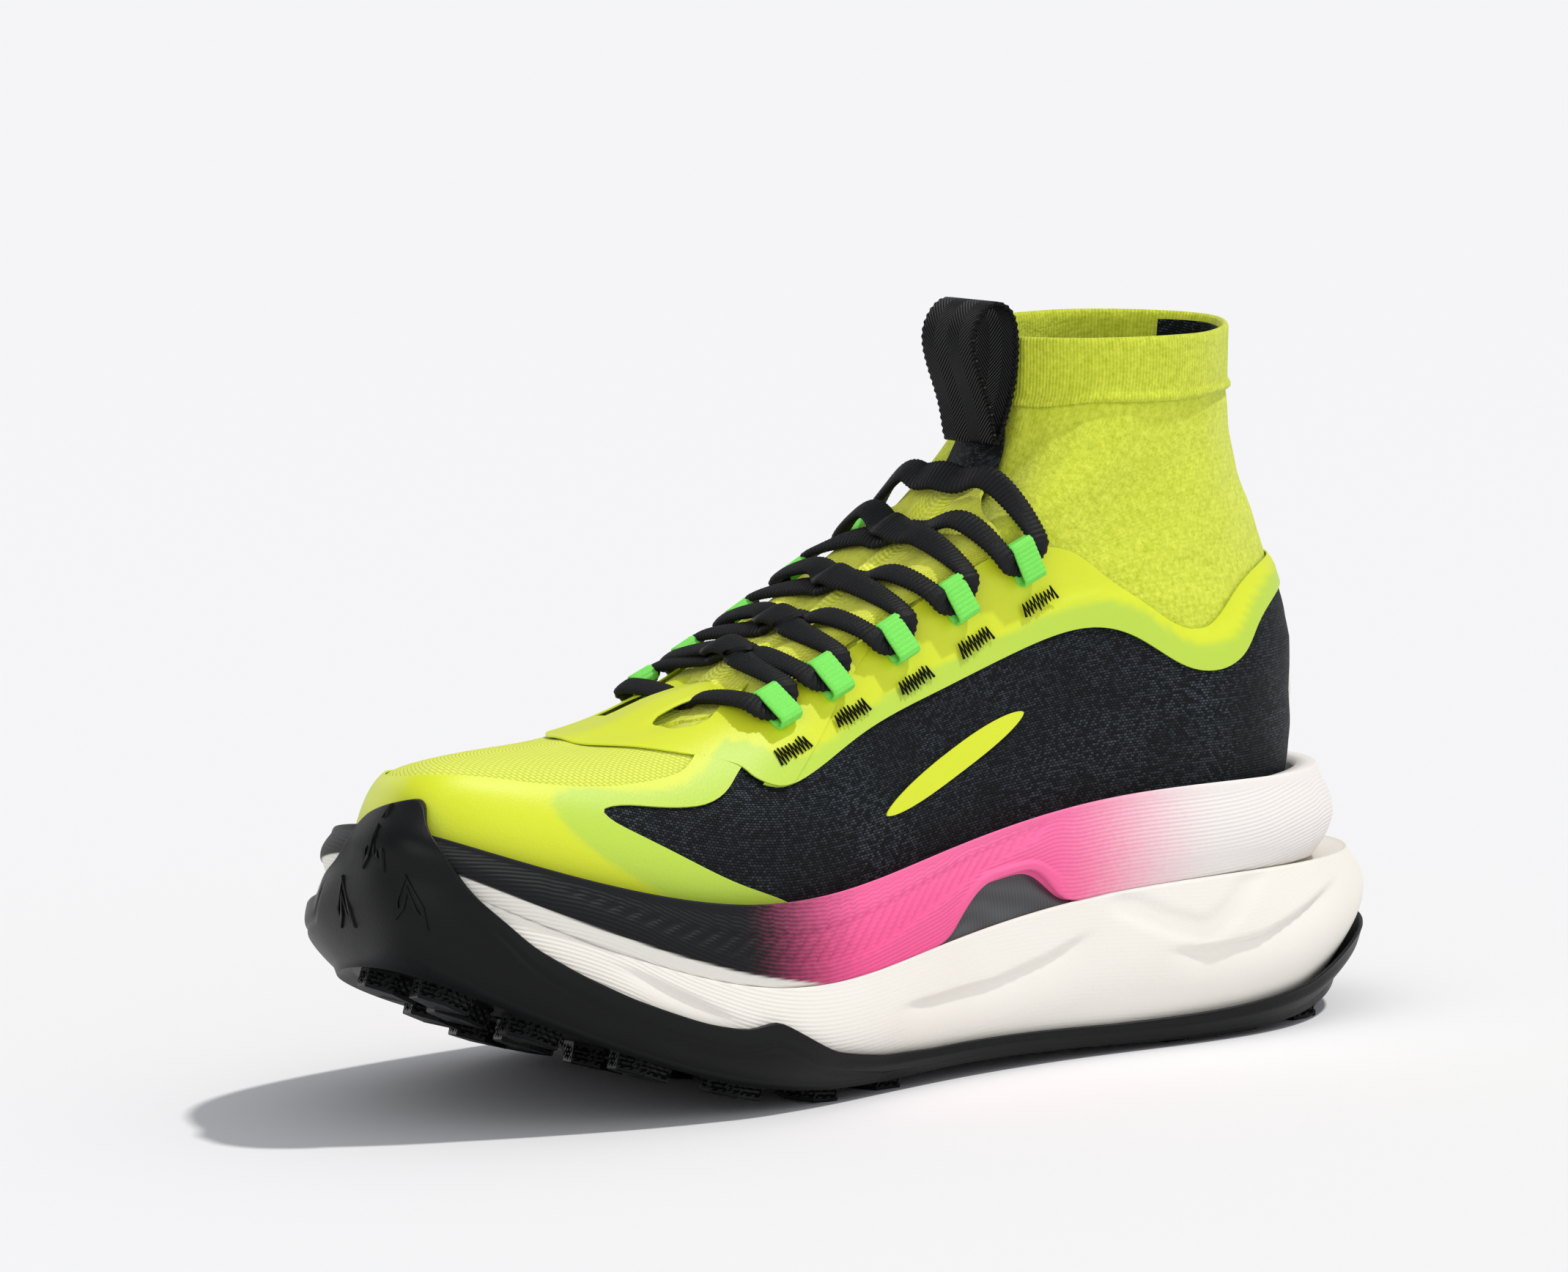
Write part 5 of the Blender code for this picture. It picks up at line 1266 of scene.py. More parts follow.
bands = {}
for side, name in ((-1, "inner"), (1, "outer")):
    cloth = QUARTER_LOOP if side < 0 else QUARTER_LOOP[::-1] * [-1, 1] + [MERIDIANS, 0]
    bands[name] = cut_piece(f"eyestay_film_{name}", band_loop(side), FILM_LIFT, FILM_THICK, FILM, spacing=1.8,
                            over=[cloth], ripple=band_drop)
BRIDGE_FRONT = [(0, 0.448), (0.55, 0.450), (1.0, 0.440), (1.35, 0.415), (1.65, 0.380), (1.86, 0.350),
                (1.945, 0.330), (2.0, 0.308), (2.08, 0.286), (2.16, 0.276), (2.20, 0.279)]
BRIDGE_SEAM = [(2.20, 0.279), (2.27, 0.36), (2.28, 0.45), (2.235, 0.556)]
BRIDGE_BACK = [(2.235, 0.556), (2.08, 0.530), (1.96, 0.515), (1.80, 0.500), (1.66, 0.500), (1.50, 0.525),
               (1.25, 0.572), (0.9, 0.600), (0.45, 0.608), (0, 0.608)]
SLOT = [(0.92, 0.518), (0.90, 0.545), (1.00, 0.562), (1.15, 0.560), (1.35, 0.532), (1.50, 0.498),
        (1.54, 0.468), (1.44, 0.462), (1.20, 0.488), (1.0, 0.505), (0.92, 0.518)]
bridge_loop = outline(BRIDGE_FRONT, BRIDGE_SEAM, BRIDGE_BACK, flipped(BRIDGE_BACK), flipped(BRIDGE_SEAM),
                      flipped(BRIDGE_FRONT))
slot_hole = run(SLOT, 1.0)[:-1]


# where the lowest lace crosses
LACE_BAR = [(0, 0.548), (0.4, 0.550), (0.8, 0.546), (1.2, 0.525), (1.6, 0.475)]


def bridge_lift(u, v):
    """The bridge rides up over the band's end along the seam, and over the lowest lace in a tunnel."""
    side = np.abs(u)
    off = (v - np.interp(side, *zip(*LACE_BAR))) * V_MM
    tunnel = 3.0 * np.exp(-(off / 5.5)**2) * smooth_step((1.25 - side) / 0.5)
    return 0.55 * smooth_step((side - 1.8) / 0.3) + tunnel


bridge = cut_piece("throat_bridge_film", bridge_loop, FILM_LIFT, FILM_THICK, FILM, spacing=1.3,
                   holes=(slot_hole, slot_hole[::-1] * [-1, 1]), over=[QUARTER_LOOP, QUARTER_TWIN],
                   ripple=bridge_lift)
print("films", [len(bands[k].data.polygons) for k in bands], len(bridge.data.polygons))

# %% [markdown]
# ### A plain mark on the quarter
# A short lozenge of the same film breaks up the black side. It is a plain shape with round ends.

# %% Film lozenge
def lozenge(side):
    u0, v0, u1, v1 = 2.72, 0.165, 3.52, 0.275
    ahead = np.array([(u1 - u0) * U_MM, (v1 - v0) * V_MM])
    length = np.linalg.norm(ahead)
    ahead /= length
    turn = np.linspace(0, 2 * math.pi, 60, endpoint=False)
    x = length / 2 * np.sign(np.cos(turn)) * np.abs(np.cos(turn)) ** 0.8
    y = 3.4 * np.sign(np.sin(turn)) * np.abs(np.sin(turn)) ** 1.2
    middle = np.array([(u0 + u1) / 2 * U_MM, (v0 + v1) / 2 * V_MM])
    flat = middle + x[:, None] * ahead + y[:, None] * [-ahead[1], ahead[0]]
    loop = flat / [U_MM, V_MM]
    if side > 0:
        loop = loop[::-1] * [-1, 1] + [MERIDIANS, 0]
    name = "side_mark_inner" if side < 0 else "side_mark_outer"
    made = cut_piece(name, loop, 1.25, 0.35, FILM, spacing=1.6)
    made.data.attributes.new("over_black", "FLOAT", "POINT")
    return made


marks = [lozenge(-1), lozenge(1)]
print("marks", [len(m.data.polygons) for m in marks])

# %% [markdown]
# ## Collar, cuff and tongue
# The collar is a knitted tube. At the top it is folded over into a double cuff with a raised line at
# the fold's lower edge. Knit never lies quite smooth, so the tube gets shallow waves, and the wall
# is closed: out, up over the rim, and down the inside.

# %% Knitted tube
SOCK_LIFT = -1.5
LEG = np.arange(300) * MERIDIANS / 300


def knit_waves(u, v):
    """Slow folds in the knit, a fraction of a millimetre deep."""
    return (0.45 * np.sin(2.1 * u + 9 * v) * np.sin(14 * v + 0.8 * u)
            + 0.22 * np.sin(5.3 * u - 23 * v + 1.0) * np.sin(3.1 * u + 31 * v))


def tube(name, heights, lifts, finish, wave=1.0):
    """A closed hoop: rings at (v, lift) up the outside and down the inside."""
    rings = []
    for v, lift in zip(heights, lifts):
        v = np.broadcast_to(v, LEG.shape)
        calm = smooth_step((v - 0.36) / 0.15)
        rings.append(upper.at(LEG, v, lift + wave * knit_waves(LEG, v) * calm))
    count = len(LEG)
    faces = grid_faces(len(rings), count, closed=True)
    last = (len(rings) - 1) * count
    faces += [(last + c, last + (c + 1) % count, (c + 1) % count, c) for c in range(count)]
    vs = np.concatenate([np.broadcast_to(v, LEG.shape) for v in heights])
    uv = cloth_uv(np.tile(LEG, len(rings)), vs, 0.9)
    made = make(name, np.concatenate(rings), faces, finish, uv=uv)
    return faces_outward(made)


sock_low = both_sides([(0, 0.44), (2, 0.34), (3, 0.32), (6, 0.34)], LEG)
share = np.linspace(0, 1, 60)
heights = [sock_low * (1 - k) + 0.935 * k for k in share]
sock = tube("collar_knit_tube", heights + heights[::-1], [-0.5] * 60 + [SOCK_LIFT] * 60, COLLAR_KNIT)
CUFF_LOW = np.interp(np.abs(np.mod(LEG + 6, MERIDIANS) - 6), [0, 1, 2, 3, 4, 5, 6],
                     [0.925, 0.912, 0.890, 0.874, 0.866, 0.862, 0.860])  # v of the fold's lower edge
cuff_share = [-0.02, -0.03, -0.005, 0.04, 0.09, 0.13] + list(np.linspace(0.17, 0.88, 22)) + [0.95, 1.0, 1.02]
cuff_lift = [0.1, 0.5, 0.9, 0.95, 0.6, 0.25] + [0.25] * 22 + [0.2, -0.1, -0.5]
cuff_share += [1.02, 0.97] + list(np.linspace(0.88, 0.06, 16)) + [0.0]
cuff_lift += [-1.0, -1.5] + [-1.7] * 16 + [-1.6]
cuff_v = [CUFF_LOW + (1 - CUFF_LOW) * k for k in cuff_share]
cuff = tube("cuff_knit_band", cuff_v, cuff_lift, CUFF_KNIT, wave=0.5)
print("collar", len(sock.data.polygons), "cuff", len(cuff.data.polygons))

# %% Tongue
TONGUE_LOW = [(0, 0.53), (0.6, 0.53), (1.0, 0.53), (1.5, 0.50), (1.9, 0.54), (2.3, 0.60), (2.75, 0.62)]
TONGUE_SIDE = [(2.75, 0.62), (2.55, 0.66), (2.2, 0.70), (1.7, 0.74), (1.15, 0.79)]
TONGUE_TOP = [(1.15, 0.79), (0.6, 0.81), (0, 0.815)]
tongue_loop = outline(TONGUE_LOW, TONGUE_SIDE, TONGUE_TOP, flipped(TONGUE_TOP), flipped(TONGUE_SIDE),
                      flipped(TONGUE_LOW))


def tongue_puff(u, v):
    """The fleece swells between the laces, which pull it in."""
    middle = (smooth_step((2.45 - np.abs(u)) / 1.7) * smooth_step((v - 0.54) / 0.07)
              * smooth_step((0.84 - v) / 0.07))
    return middle * (4.6 + 0.45 * np.sin(v * 75 + 0.6 * u) + 0.25 * np.sin(7 * u + 40 * v)) - 1.4


tongue = cut_piece("tongue_knit_sheet", tongue_loop, 0.9, CLOTH, TONGUE_KNIT, spacing=1.7,
                   ripple=tongue_puff, at=0.65)
print("tongue", len(tongue.data.polygons))

# %% [markdown]
# ## Lace and its loops
# One flat woven lace crosses the tongue and turns through five loops of grosgrain on each side. Its
# cross ribs are in the mesh: the section swells and shrinks every 1.2 mm along the lace.

# %% Where the loops sit
TRIM_LIFT = 2.3
LOOP_LONG, LOOP_WIDE, LOOP_HIGH, LOOP_WEB = 6.6, 10.6, 3.9, 0.6
LACE_LIFT = TRIM_LIFT + 1.9
TURN = 5.6
LACE_LOOPS = [(1.93, 0.450), (2.12, 0.483), (2.40, 0.517), (2.65, 0.562), (3.00, 0.604)]
TACKS = [(2.15, 0.350), (2.40, 0.396), (2.73, 0.417), (3.05, 0.450), (3.40, 0.496)]


def side_of(u, side):
    return u if side < 0 else MERIDIANS - u


def loop_frame(row, side):
    """A lace loop's centre on the cage, and its directions along the throat, across it and out."""
    spots = [upper.at(side_of(u, side), v) for u, v in LACE_LOOPS]
    ahead = spots[min(row + 1, 4)] - spots[max(row - 1, 0)]
    u, v = LACE_LOOPS[row]
    out = upper.normal(np.array(side_of(u, side)), np.array(v))
    along = ahead - out * (ahead @ out)
    along /= np.linalg.norm(along)
    return spots[row], along, np.cross(out, along), out


# %% The lace's path
def v_at(u, x):
    """The height v at which meridian u of the upper passes a place x along the shoe."""
    v = np.linspace(0.2, 1.0, 81)
    return float(np.interp(x, upper.at(np.full_like(v, u), v)[:, 0], v))


def lace_path():
    """The lace's centre line and the way its flat side faces: criss-cross, closed by a bar at each end."""
    turns = [(0, -1, 1), (1, 1, 1), (2, -1, 1), (3, 1, 1), (4, -1, 1),  # row, side, way through the loop
             (4, 1, -1), (3, -1, -1), (2, 1, -1), (1, -1, -1), (0, 1, -1)]
    middle_lifts = [9.4, 7.2, 9.4, 7.2, 8.6, 9.4, 7.2, 9.4, 7.2, 2.1]  # half way over, after each loop
    points, outs, widths = [], [], []
    for step, (row, side, way) in enumerate(turns):
        centre, along, across, out = loop_frame(row, side)
        for angle in np.radians([-90, -45, 0, 45, 90]):
            slide = way * TURN * math.sin(angle)
            shift = -side * (TURN - 0.6 - TURN * math.cos(angle))
            points.append(centre + out * LACE_LIFT + along * slide + across * shift)
            outs.append(out)
            widths.append(5.2)
        next_row, next_side, next_way = turns[(step + 1) % len(turns)]
        next_centre, next_along, _, _ = loop_frame(next_row, next_side)
        start = centre[0] + along[0] * TURN * way
        end = next_centre[0] - next_along[0] * TURN * next_way
        for share in (0.17, 0.34, 0.5, 0.66, 0.83):
            here, there = LACE_LOOPS[row][0] * -side, LACE_LOOPS[next_row][0] * -next_side
            u = 0.88 * ((1 - share) * here + share * there)
            back = 6.0 * math.sin(math.pi * share) if step == 9 else 0.0  # the lowest bar dips into the slots
            v = v_at(u, (1 - share) * start + share * end - back)
            rise = LACE_LIFT + (middle_lifts[step] - LACE_LIFT) * math.sin(math.pi * share)
            points.append(upper.at(u, v, rise))
            outs.append(upper.normal(np.array(u), np.array(v)))
            widths.append(5.6 + 2.3 * math.sin(math.pi * share)**2)
    return np.array(points), np.array(outs), np.array(widths)


def closed_curve(points, count):
    """Values at evenly numbered places of a smooth closed curve through the points."""
    wide = np.concatenate([points[-3:], points, points[:3]])
    places = np.arange(count) * len(points) / count
    return spline_weights(np.arange(-3, len(points) + 3), places) @ wide


# %% The lace
RIB_PITCH = 1.2  # mm
SECTION = 14


def lace_piece():
    points, outs, widths = lace_path()
    fine = closed_curve(points, 4000)
    steps = np.linalg.norm(np.roll(fine, -1, axis=0) - fine, axis=1)
    total = steps.sum()
    ribs = int(total / RIB_PITCH)
    count = ribs * 4
    length = np.concatenate([[0], np.cumsum(steps)[:-1]])
    places = np.interp(np.arange(count) * total / count, length, np.arange(4000)) / 4000 * len(points)
    knots = np.arange(-3, len(points) + 3)
    weights = spline_weights(knots, places)
    line, out, half = (weights @ np.concatenate([a[-3:], a, a[:3]]) for a in (points, outs, widths / 2))
    ahead = np.roll(line, -1, axis=0) - np.roll(line, 1, axis=0)
    across = np.cross(out, ahead)
    across /= np.linalg.norm(across, axis=1, keepdims=True)
    up = np.cross(ahead, across)
    up /= np.linalg.norm(up, axis=1, keepdims=True)
    rib = 0.5 + 0.5 * np.cos(2 * math.pi * np.arange(count) / 4)
    turn = np.linspace(0, 2 * math.pi, SECTION, endpoint=False)
    side = np.sign(np.cos(turn)) * np.abs(np.cos(turn)) ** 0.75
    top = np.sign(np.sin(turn)) * np.abs(np.sin(turn)) ** 0.75
    wide = (half + 0.32 * rib)[:, None] * side
    thick = (0.90 + 0.30 * rib)[:, None] * top
    sections = line[:, None] + wide[..., None] * across[:, None] + thick[..., None] * up[:, None]
    faces = grid_faces(count, SECTION, closed=True)
    last = (count - 1) * SECTION
    faces += [(last + c, last + (c + 1) % SECTION, (c + 1) % SECTION, c) for c in range(SECTION)]
    uv = np.stack(np.broadcast_arrays(np.arange(count)[:, None] * total / count, turn * 2), axis=-1)
    made = make("lace_cord", sections.reshape(-1, 3), faces, LACE_YARN, uv=uv.reshape(-1, 2))
    faces_outward(made)
    return made, total


lace, lace_length = lace_piece()
print("lace", round(lace_length), "mm of it in the shoe,", len(lace.data.polygons), "faces")


# %% Grosgrain loops
def loop_piece(row, side):
    """A sleeve of webbing with ribs along the lace's way: an outline with ridges, pushed out lengthways."""
    centre, along, across, out = loop_frame(row, side)
    wide, high, corner = LOOP_WIDE / 2, LOOP_HIGH / 2, 1.5
    spots = []
    for cx, cy, start in ((wide - corner, high - corner, 0), (corner - wide, high - corner, 90),
                          (corner - wide, corner - high, 180), (wide - corner, corner - high, 270)):
        for angle in np.radians(np.linspace(start, start + 90, 7)):
            spots.append((cx + corner * math.cos(angle), cy + corner * math.sin(angle)))
    spots = np.array(spots + spots[:1])
    length = np.concatenate([[0], np.cumsum(np.linalg.norm(np.diff(spots, axis=0), axis=1))])
    ribs = int(length[-1] / 1.15)
    places = np.linspace(0, length[-1], ribs * 6, endpoint=False)
    ring = np.column_stack([np.interp(places, length, spots[:, k]) for k in (0, 1)])
    ahead = np.roll(ring, -1, axis=0) - np.roll(ring, 1, axis=0)
    outward = np.column_stack([ahead[:, 1], -ahead[:, 0]])
    outward /= np.linalg.norm(outward, axis=1, keepdims=True)
    ridge = 0.16 * np.abs(np.sin(np.pi * np.arange(len(ring)) / 6))[:, None]
    rows = []
    for slide, gap in [(-1, 0.15), (-0.96, 0), (-0.5, 0), (0, 0), (0.5, 0), (0.96, 0), (1, 0.15)]:
        shape = ring + outward * (ridge - gap)
        rows.append((slide, shape))
    for slide in (1, 0.5, 0, -0.5, -1):
        rows.append((slide, ring - outward * LOOP_WEB))
    lifted = centre + out * (TRIM_LIFT + LOOP_HIGH / 2)
    points = [lifted + across * x + out * y + along * (slide * LOOP_LONG / 2)
              for slide, shape in rows for x, y in shape]
    count = len(ring)
    faces = grid_faces(len(rows), count, closed=True)
    last = (len(rows) - 1) * count
    faces += [(last + c, last + (c + 1) % count, (c + 1) % count, c) for c in range(count)]
    uv = [(place, slide * LOOP_LONG / 2) for slide, _ in rows for place in places]
    name = f"loop_webbing_{'inner' if side < 0 else 'outer'}_{row + 1}"
    made = make(name, np.array(points), faces, GREEN_YARN, uv=uv)
    return faces_outward(made)


loops = {(row, side): loop_piece(row, side) for row in range(5) for side in (-1, 1)}
print(len(loops), "loops")

# %% [markdown]
# ### Bar tacks
# Each loop's end is sewn down by a bar tack: a dense zigzag of black thread. Geometry Nodes draw it:
# a line of points is thrown left and right in turn, with a little seeded scatter, and a round thread
# is swept along it. The tree is baked for each tack and laid on the film.

# %% The zigzag tree
def zigzag_tree():
    tree = bpy.data.node_groups.new("bar tack zigzag", "GeometryNodeTree")
    tree.is_modifier = True
    for name, kind, value in (("Geometry", "Geometry", None), ("Points", "Int", 19),
                              ("Length", "Float", 0.0105),
                              ("Width", "Float", 0.0036), ("Thread", "Float", 0.00034), ("Seed", "Int", 0),
                              ("Finish", "Material", None)):
        socket = tree.interface.new_socket(name, in_out="INPUT", socket_type="NodeSocket" + kind)
        if value is not None:
            socket.default_value = value
    tree.interface.new_socket("Geometry", in_out="OUTPUT", socket_type="NodeSocketGeometry")
    given = add(tree, "NodeGroupInput").outputs
    index = add(tree, "GeometryNodeInputIndex").outputs[0]
    last = add(tree, "ShaderNodeMath", {0: given["Points"], 1: 1.0}, operation="SUBTRACT").outputs[0]
    share = add(tree, "ShaderNodeMath", {0: index, 1: last}, operation="DIVIDE").outputs[0]
    off = add(tree, "ShaderNodeMath", {0: share, 1: 0.5}, operation="SUBTRACT").outputs[0]
    along = add(tree, "ShaderNodeMath", {0: off, 1: given["Length"]}, operation="MULTIPLY").outputs[0]
    odd = add(tree, "ShaderNodeMath", {0: index, 1: 2.0}, operation="MODULO").outputs[0]
    doubled = add(tree, "ShaderNodeMath", {0: odd, 1: 2.0}, operation="MULTIPLY").outputs[0]
    parity = add(tree, "ShaderNodeMath", {0: doubled, 1: 1.0}, operation="SUBTRACT").outputs[0]
    scatter = add(tree, "FunctionNodeRandomValue", {2: 0.62, 3: 1.12, "ID": index, "Seed": given["Seed"]},
                  data_type="FLOAT").outputs[1]
    thrown = add(tree, "ShaderNodeMath", {0: parity, 1: scatter}, operation="MULTIPLY").outputs[0]
    half = add(tree, "ShaderNodeMath", {0: given["Width"], 1: 0.5}, operation="MULTIPLY").outputs[0]
    across = add(tree, "ShaderNodeMath", {0: thrown, 1: half}, operation="MULTIPLY").outputs[0]
    place = add(tree, "ShaderNodeCombineXYZ", {0: along, 1: across}).outputs[0]
    line = add(tree, "GeometryNodeMeshLine", {"Count": given["Points"]}).outputs[0]
    moved = add(tree, "GeometryNodeSetPosition", {"Geometry": line, "Position": place}).outputs[0]
    path = add(tree, "GeometryNodeMeshToCurve", {"Mesh": moved}).outputs[0]
    ring = add(tree, "GeometryNodeCurvePrimitiveCircle",
               {"Resolution": 7, "Radius": given["Thread"]}).outputs[0]
    thread = add(tree, "GeometryNodeCurveToMesh", {"Curve": path, "Profile Curve": ring, "Fill Caps": True})
    real = add(tree, "GeometryNodeRealizeInstances", {"Geometry": thread.outputs[0]})
    done = add(tree, "GeometryNodeSetMaterial", {"Geometry": real.outputs[0], "Material": given["Finish"]})
    add(tree, "NodeGroupOutput", {0: done.outputs[0]})
    return tree


ZIGZAG = zigzag_tree()


def tack_piece(row, side):
    u, v = TACKS[row]
    u = side_of(u, side)
    _, along, _, _ = loop_frame(row, side)
    out = upper.normal(np.array(u), np.array(v))
    along = along - out * (along @ out)
    along /= np.linalg.norm(along)
    name = f"tack_thread_{'inner' if side < 0 else 'outer'}_{row + 1}"
    made = bpy.data.objects.new(name, bpy.data.meshes.new(name))
    scene.collection.objects.link(made)
    step = made.modifiers.new("zigzag", "NODES")
    step.node_group = ZIGZAG
    step[socket_of(ZIGZAG, "Seed")] = row + (10 if side > 0 else 0)
    step[socket_of(ZIGZAG, "Finish")] = THREAD
    bpy.context.view_layer.update()
    mesh = bpy.data.meshes.new_from_object(made.evaluated_get(bpy.context.evaluated_depsgraph_get()))
    made.modifiers.clear()
    place = (upper.at(u, v) + out * (FILM_LIFT + FILM_THICK + 0.75) + ORIGIN) * 0.001
    turn = Matrix([along, np.cross(out, along), out]).transposed().to_4x4()
    mesh.transform(Matrix.Translation(place) @ turn)
    made.data = mesh
    return made


tacks = {(row, side): tack_piece(row, side) for row in range(5) for side in (-1, 1)}
print(len(tacks), "bar tacks of", len(tacks[0, -1].data.polygons), "faces")

# %% [markdown]
# ## Pull loop
# A loop of herringbone webbing stands up in front of the collar, to pull the shoe on by. Its edges
# are beaded, as woven tape is. It is sewn under a black patch on the tongue.

# %% The webbing loop
PULL_LINE = [(37.4, 144.5), (36.0, 150), (33.8, 157), (30.8, 165), (30.6, 172), (35.0, 177.2), (40.2, 177.0),
             (43.4, 172), (43.6, 163), (42.0, 155), (39.6, 148.5)]


def pull_piece():
    count, half, thick = 300, 9.3, 1.2
    line = closed_curve(np.array(PULL_LINE), count)
    ahead = np.roll(line, -1, axis=0) - np.roll(line, 1, axis=0)
    out = np.column_stack([ahead[:, 1], -ahead[:, 0]])
    out /= np.linalg.norm(out, axis=1, keepdims=True)
    steps = np.linalg.norm(np.roll(line, -1, axis=0) - line, axis=1)
    length = np.concatenate([[0], np.cumsum(steps)[:-1]])
    bead = 0.5 + 0.5 * np.cos(2 * math.pi * length / (steps.sum() / 44))
    across = np.array([-1.0, -0.985, -0.955, -0.92, *np.linspace(-0.88, 0.88, 14), 0.92, 0.955, 0.985, 1.0])
    rows, uv = [], []
    profile = [(a, 1) for a in across] + [(a, -1) for a in across[::-1]]
    for a, face in profile:
        edge = smooth_step((abs(a) - 0.9) / 0.05)
        wide = a * (half + 0.30 * bead * edge)
        height = face * thick / 2 * (1 - 0.25 * edge * (1 - bead)) * (0.35 if abs(a) == 1 else 1)
        spot = line + out * np.broadcast_to(height, count)[:, None]
        rows.append(np.column_stack([spot[:, 0], wide, spot[:, 1]]))
        uv.append(np.column_stack([np.full(count, a * half + 9), length]))
    points = np.array(rows).reshape(-1, 3)
    faces = grid_faces(len(profile), count, closed=True)
    last = (len(profile) - 1) * count
    faces += [(last + c, last + (c + 1) % count, (c + 1) % count, c) for c in range(count)]
    made = make("pull_loop_webbing", points, faces, TWILL, uv=np.concatenate(uv))
    return faces_outward(made)


pull = pull_piece()
patch_loop = outline([(-1.05, 0.792), (0, 0.790), (1.05, 0.792)],
                     [(1.05, 0.792), (0.88, 0.85), (0.72, 0.885)],
                     [(0.72, 0.885), (0, 0.888), (-0.72, 0.885)],
                     [(-0.72, 0.885), (-0.88, 0.85), (-1.05, 0.792)])
patch = cut_piece("pull_patch_cloth", patch_loop, 1.6, 0.8, WEAVE, spacing=1.6, at=0.8)
grip_loop = outline([(5.5, 0.72), (6, 0.715), (6.5, 0.72)], [(6.5, 0.72), (6.5, 0.985)],
                    [(6.5, 0.985), (5.5, 0.985)], [(5.5, 0.985), (5.5, 0.72)])
grip = cut_piece("heel_grip_cloth", grip_loop, -3.1, 0.9, WEAVE, spacing=1.8, at=0.9)
print("pull loop", len(pull.data.polygons), "patches", len(patch.data.polygons), len(grip.data.polygons))

# %% [markdown]
# ## Inside: insole, pads and plates
# The insole and the two ankle pads are soft, so they are closed crowned forms. The plates, board and
# stiffeners keep their CAD meshes and only get their finishes; the wing of the inner plate, which
# shows through the arch opening, is made again with a smoother edge.

# %% Insole
def insole_piece():
    edge = upper.at(ROUND, TUCK, -1.2)
    base, thick = 2.4, 4.5
    rings = [cup_floor(edge, k, base) for k in (SMALLEST, 0.6, 0.95)]
    rings += [cup_floor(edge, 1.0, base + thick * k) for k in (0.15, 0.5, 0.8)]
    for k in (0.985, 0.96, 0.9, 0.8, 0.6, SMALLEST):
        crown = 0.5 * (1 - k)
        rings.append(cup_floor(edge, k, base + thick - crown))
    return loft("insole_pad", rings, INSOLE_CLOTH)


insole = insole_piece()


# %% Ankle pads and the plate's wing
def pad_piece(name, u0, u1):
    """A lens of foam behind the lining: thickest in the middle, thin at its round rim."""
    us, vs = np.linspace(-1, 1, 33), np.linspace(-1, 1, 25)
    faces, points, uv = [], [], []
    for top in (0, 1):
        for b in vs:
            for a in us:
                x, y = a * math.sqrt(1 - b * b / 2), b * math.sqrt(1 - a * a / 2)
                full = max(1 - max(abs(a), abs(b)) ** 6, 0.0) ** 0.5
                u, v = (u0 + u1) / 2 + x * (u1 - u0) / 2, 0.42 + y * 0.08
                lift = -4.0 + (1.4 if top else -1.4) * full
                points.append(upper.at(u, v, lift))
                uv.append((u * U_MM, v * V_MM))
    side = len(us) * len(vs)
    grid = grid_faces(len(vs), len(us), closed=False)
    faces = [tuple(reversed(f)) for f in grid] + [tuple(side + i for i in f) for f in grid]
    made = make(name, np.array(points), faces, COLLAR_KNIT, uv=uv)
    solid = bmesh.new()
    solid.from_mesh(made.data)
    bmesh.ops.remove_doubles(solid, verts=solid.verts, dist=1e-6)
    bmesh.ops.recalc_face_normals(solid, faces=solid.faces)
    solid.to_mesh(made.data)
    solid.free()
    return made


pads = [pad_piece("ankle_pad_foam_inner", 4.75, 5.85), pad_piece("ankle_pad_foam_outer", 6.15, 7.25)]


def wing_piece():
    u = np.linspace(3.08, 3.80, 60)
    seam = upper_foam.at(u, 0.0)
    plan = inwards(seam, 0.955)
    foot = glue_ring(seam, 0.955)[:, 2] - 0.2
    top = foot + 0.95 * window_lift(u) + 1.2
    points = []
    for k in np.linspace(0, 1, 12):
        lean = 1.2 - 1.8 * math.cos(math.pi * k / 2)
        points.append(np.column_stack([plan[:, 0], plan[:, 1] + lean, foot + k * (top - foot)]))
    made = make("plate_wing_shell", np.concatenate(points), grid_faces(12, 60, False), CARBON)
    wall = made.modifiers.new("thickness", "SOLIDIFY")
    wall.thickness, wall.offset = 0.0011, 0.0
    return made


wing = wing_piece()
for node, finish in (("plate_inner", CARBON), ("plate_outer", CARBON), ("lasting_board", BOARD),
                     ("toe_puff", STIFFENER), ("heel_counter", STIFFENER)):
    for slot in nodes[node].material_slots:
        slot.material = finish
print("inside pieces done")

# %% [markdown]
# ## Floor
# A plain pale sheet far larger than the view, so that it has no edge. The fills don't light it, by
# light linking, so that it keeps its even tone and the key's shadow stays clear.

# %% Floor
floor_finish, _, _ = start_finish("matt white paper", "#FBFBFD", Roughness=0.95, Specular_IOR_Level=0.1)
floor = make("floor", np.array([(-9000, -9000, 0), (30000, -9000, 0), (30000, 30000, 0), (-9000, 30000, 0)]),
             [(0, 1, 2, 3)], floor_finish, smooth=False)
unlit = bpy.data.collections.new("not lit by the fills")
unlit.objects.link(floor)
unlit.collection_objects[0].light_linking.link_state = "EXCLUDE"
for fill in fills:
    fill.light_linking.receiver_collection = unlit
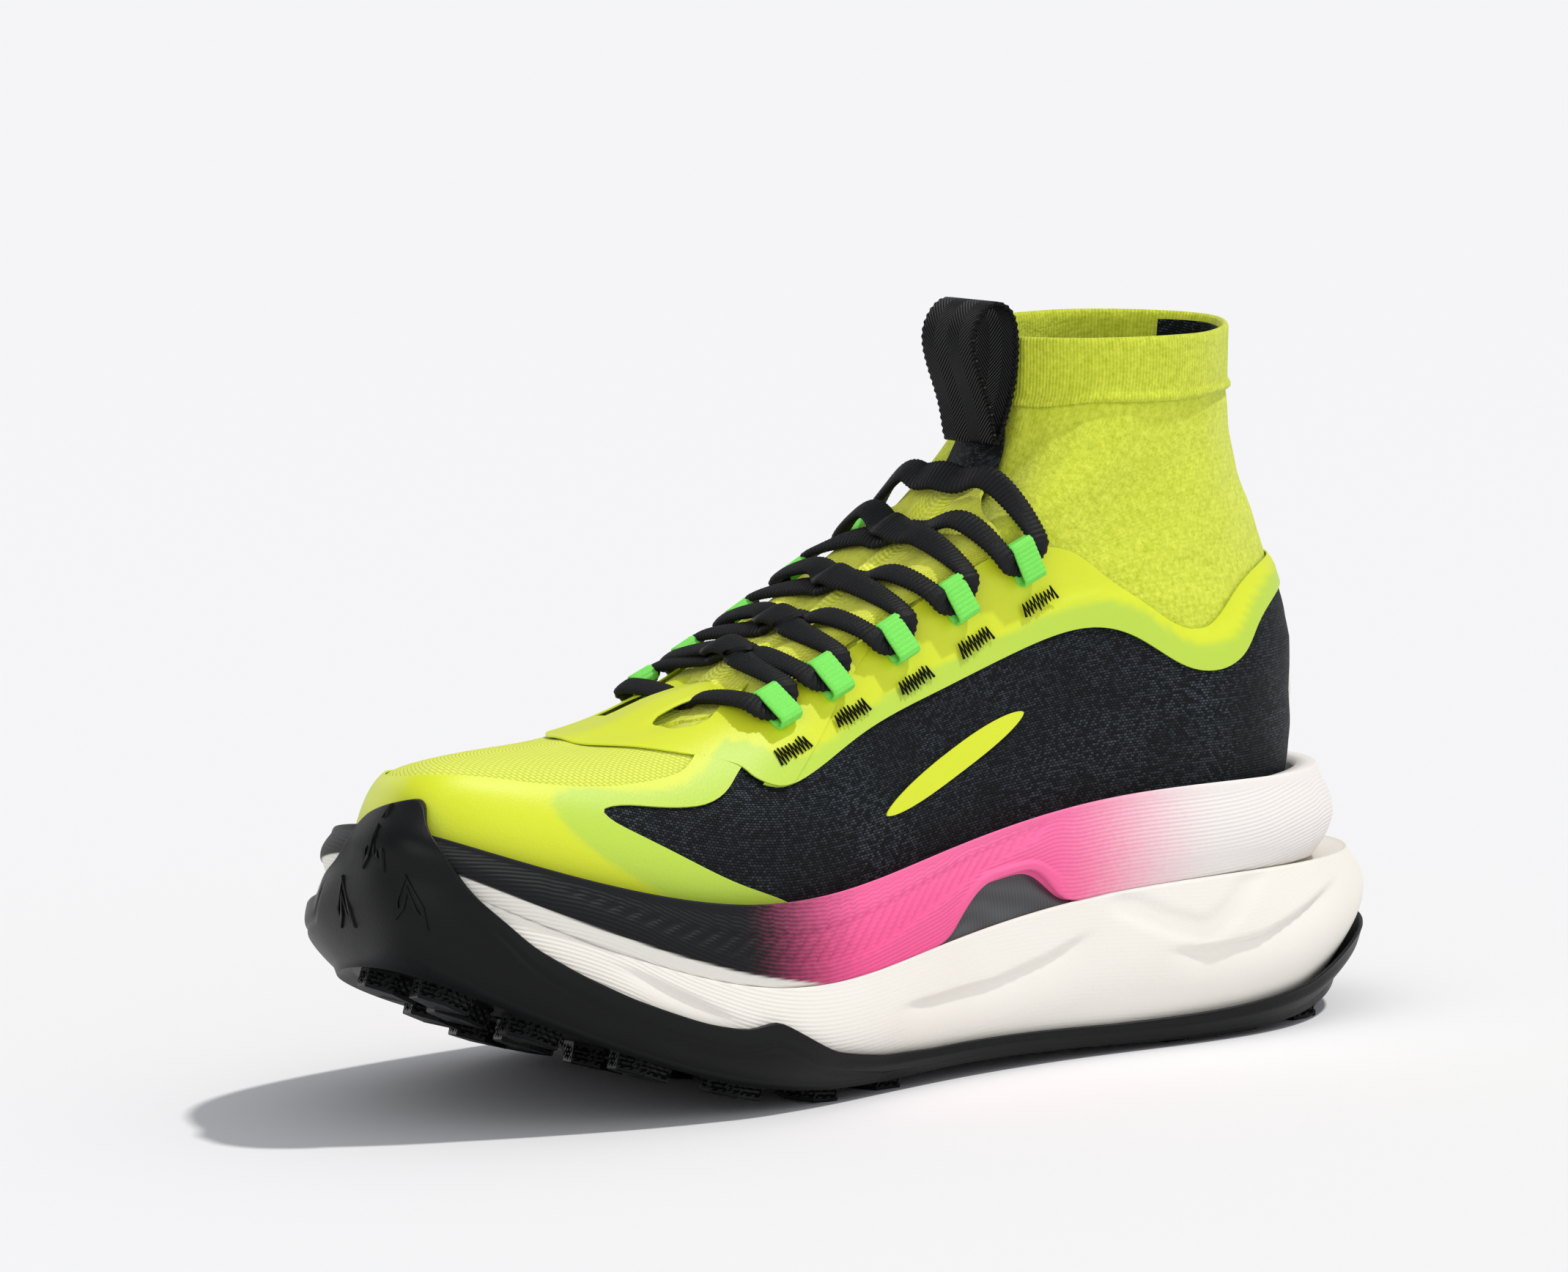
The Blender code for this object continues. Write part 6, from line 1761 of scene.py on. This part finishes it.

# %% [markdown]
# ## Ride, replace and measure
# Each piece rides on the CAD body it belongs to, names the CAD node it stands for and the slot its
# finish belongs to. The sheets' cut sizes are worked out from their meshes and printed.

# %% What each piece stands for
table = [
    (foam_lower, "white_foam", ["midsole_lower"]), (foam_upper, "pink_foam", ["midsole_upper"]),
    (rubber_sole, "black_rubber", ["outsole"]), (lugs, "black_rubber", []), (arrows, "black_rubber", []),
    (quarter_inner, "black_weave", ["quarter_inner"]), (quarter_outer, "black_weave", ["quarter_outer"]),
    (vamp, "pale_mesh", ["vamp_mesh"]), (toe_cap, "yellow_film", ["toe_cap_film"]),
    (bands["inner"], "yellow_film", ["eyestay_collar_film"]), (bands["outer"], "yellow_film", []),
    (bridge, "yellow_film", []), (marks[0], "yellow_film", []), (marks[1], "yellow_film", []),
    (sock, "yellow_knit", ["sock_collar"]), (cuff, "yellow_knit", ["collar_cuff"]),
    (tongue, "yellow_knit", ["tongue"]), (patch, "black_weave", ["pull_loop_patch"]),
    (grip, "black_weave", ["heel_grip_patch"]), (lace, "black_lace", ["lace"]),
    (insole, "insole_foam", ["insole"]), (wing, "carbon", ["plate_wing"]),
    (pads[0], "yellow_knit", ["ankle_pad_inner"]), (pads[1], "yellow_knit", ["ankle_pad_outer"]),
]
for (row, side), piece in loops.items():
    table.append((piece, "green_webbing", [f"lace_loop_{'inner' if side < 0 else 'outer'}_{row + 1}"]))
for (row, side), piece in tacks.items():
    table.append((piece, "black_thread", [f"bar_tack_{'inner' if side < 0 else 'outer'}_{row + 1}"]))
for piece, slot, stands_for in table:
    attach(piece, "shoe")
    if stands_for:
        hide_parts(*stands_for)
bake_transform(pull)
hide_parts("pull_loop")


# %% Sheets
def declare_sheet(piece, shells=1.0):
    """The cut size from the mesh: its area, and the length and width of its UV map, which is in mm."""
    mesh = piece.data
    area = sum(face.area for face in mesh.polygons) * shells
    flat = np.array([tuple(item.uv) for item in mesh.uv_layers[0].data])
    width, length = (flat.max(axis=0) - flat.min(axis=0)) * 0.001
    grow = math.sqrt(max(area / (width * length), 1.0)) * 1.001
    shrink = math.sqrt(min(area / (0.31 * width * length), 1.0))
    width, length = width * grow * shrink, length * grow * shrink
    print(f"  {piece.name}: {width * 1000:.0f} x {length * 1000:.0f} mm, {area * 1e4:.0f} cm2")


for piece in (quarter_inner, quarter_outer, vamp, tongue):
    declare_sheet(piece, 0.5)
declare_sheet(sock, 0.5)
declare_sheet(cuff, 0.5)
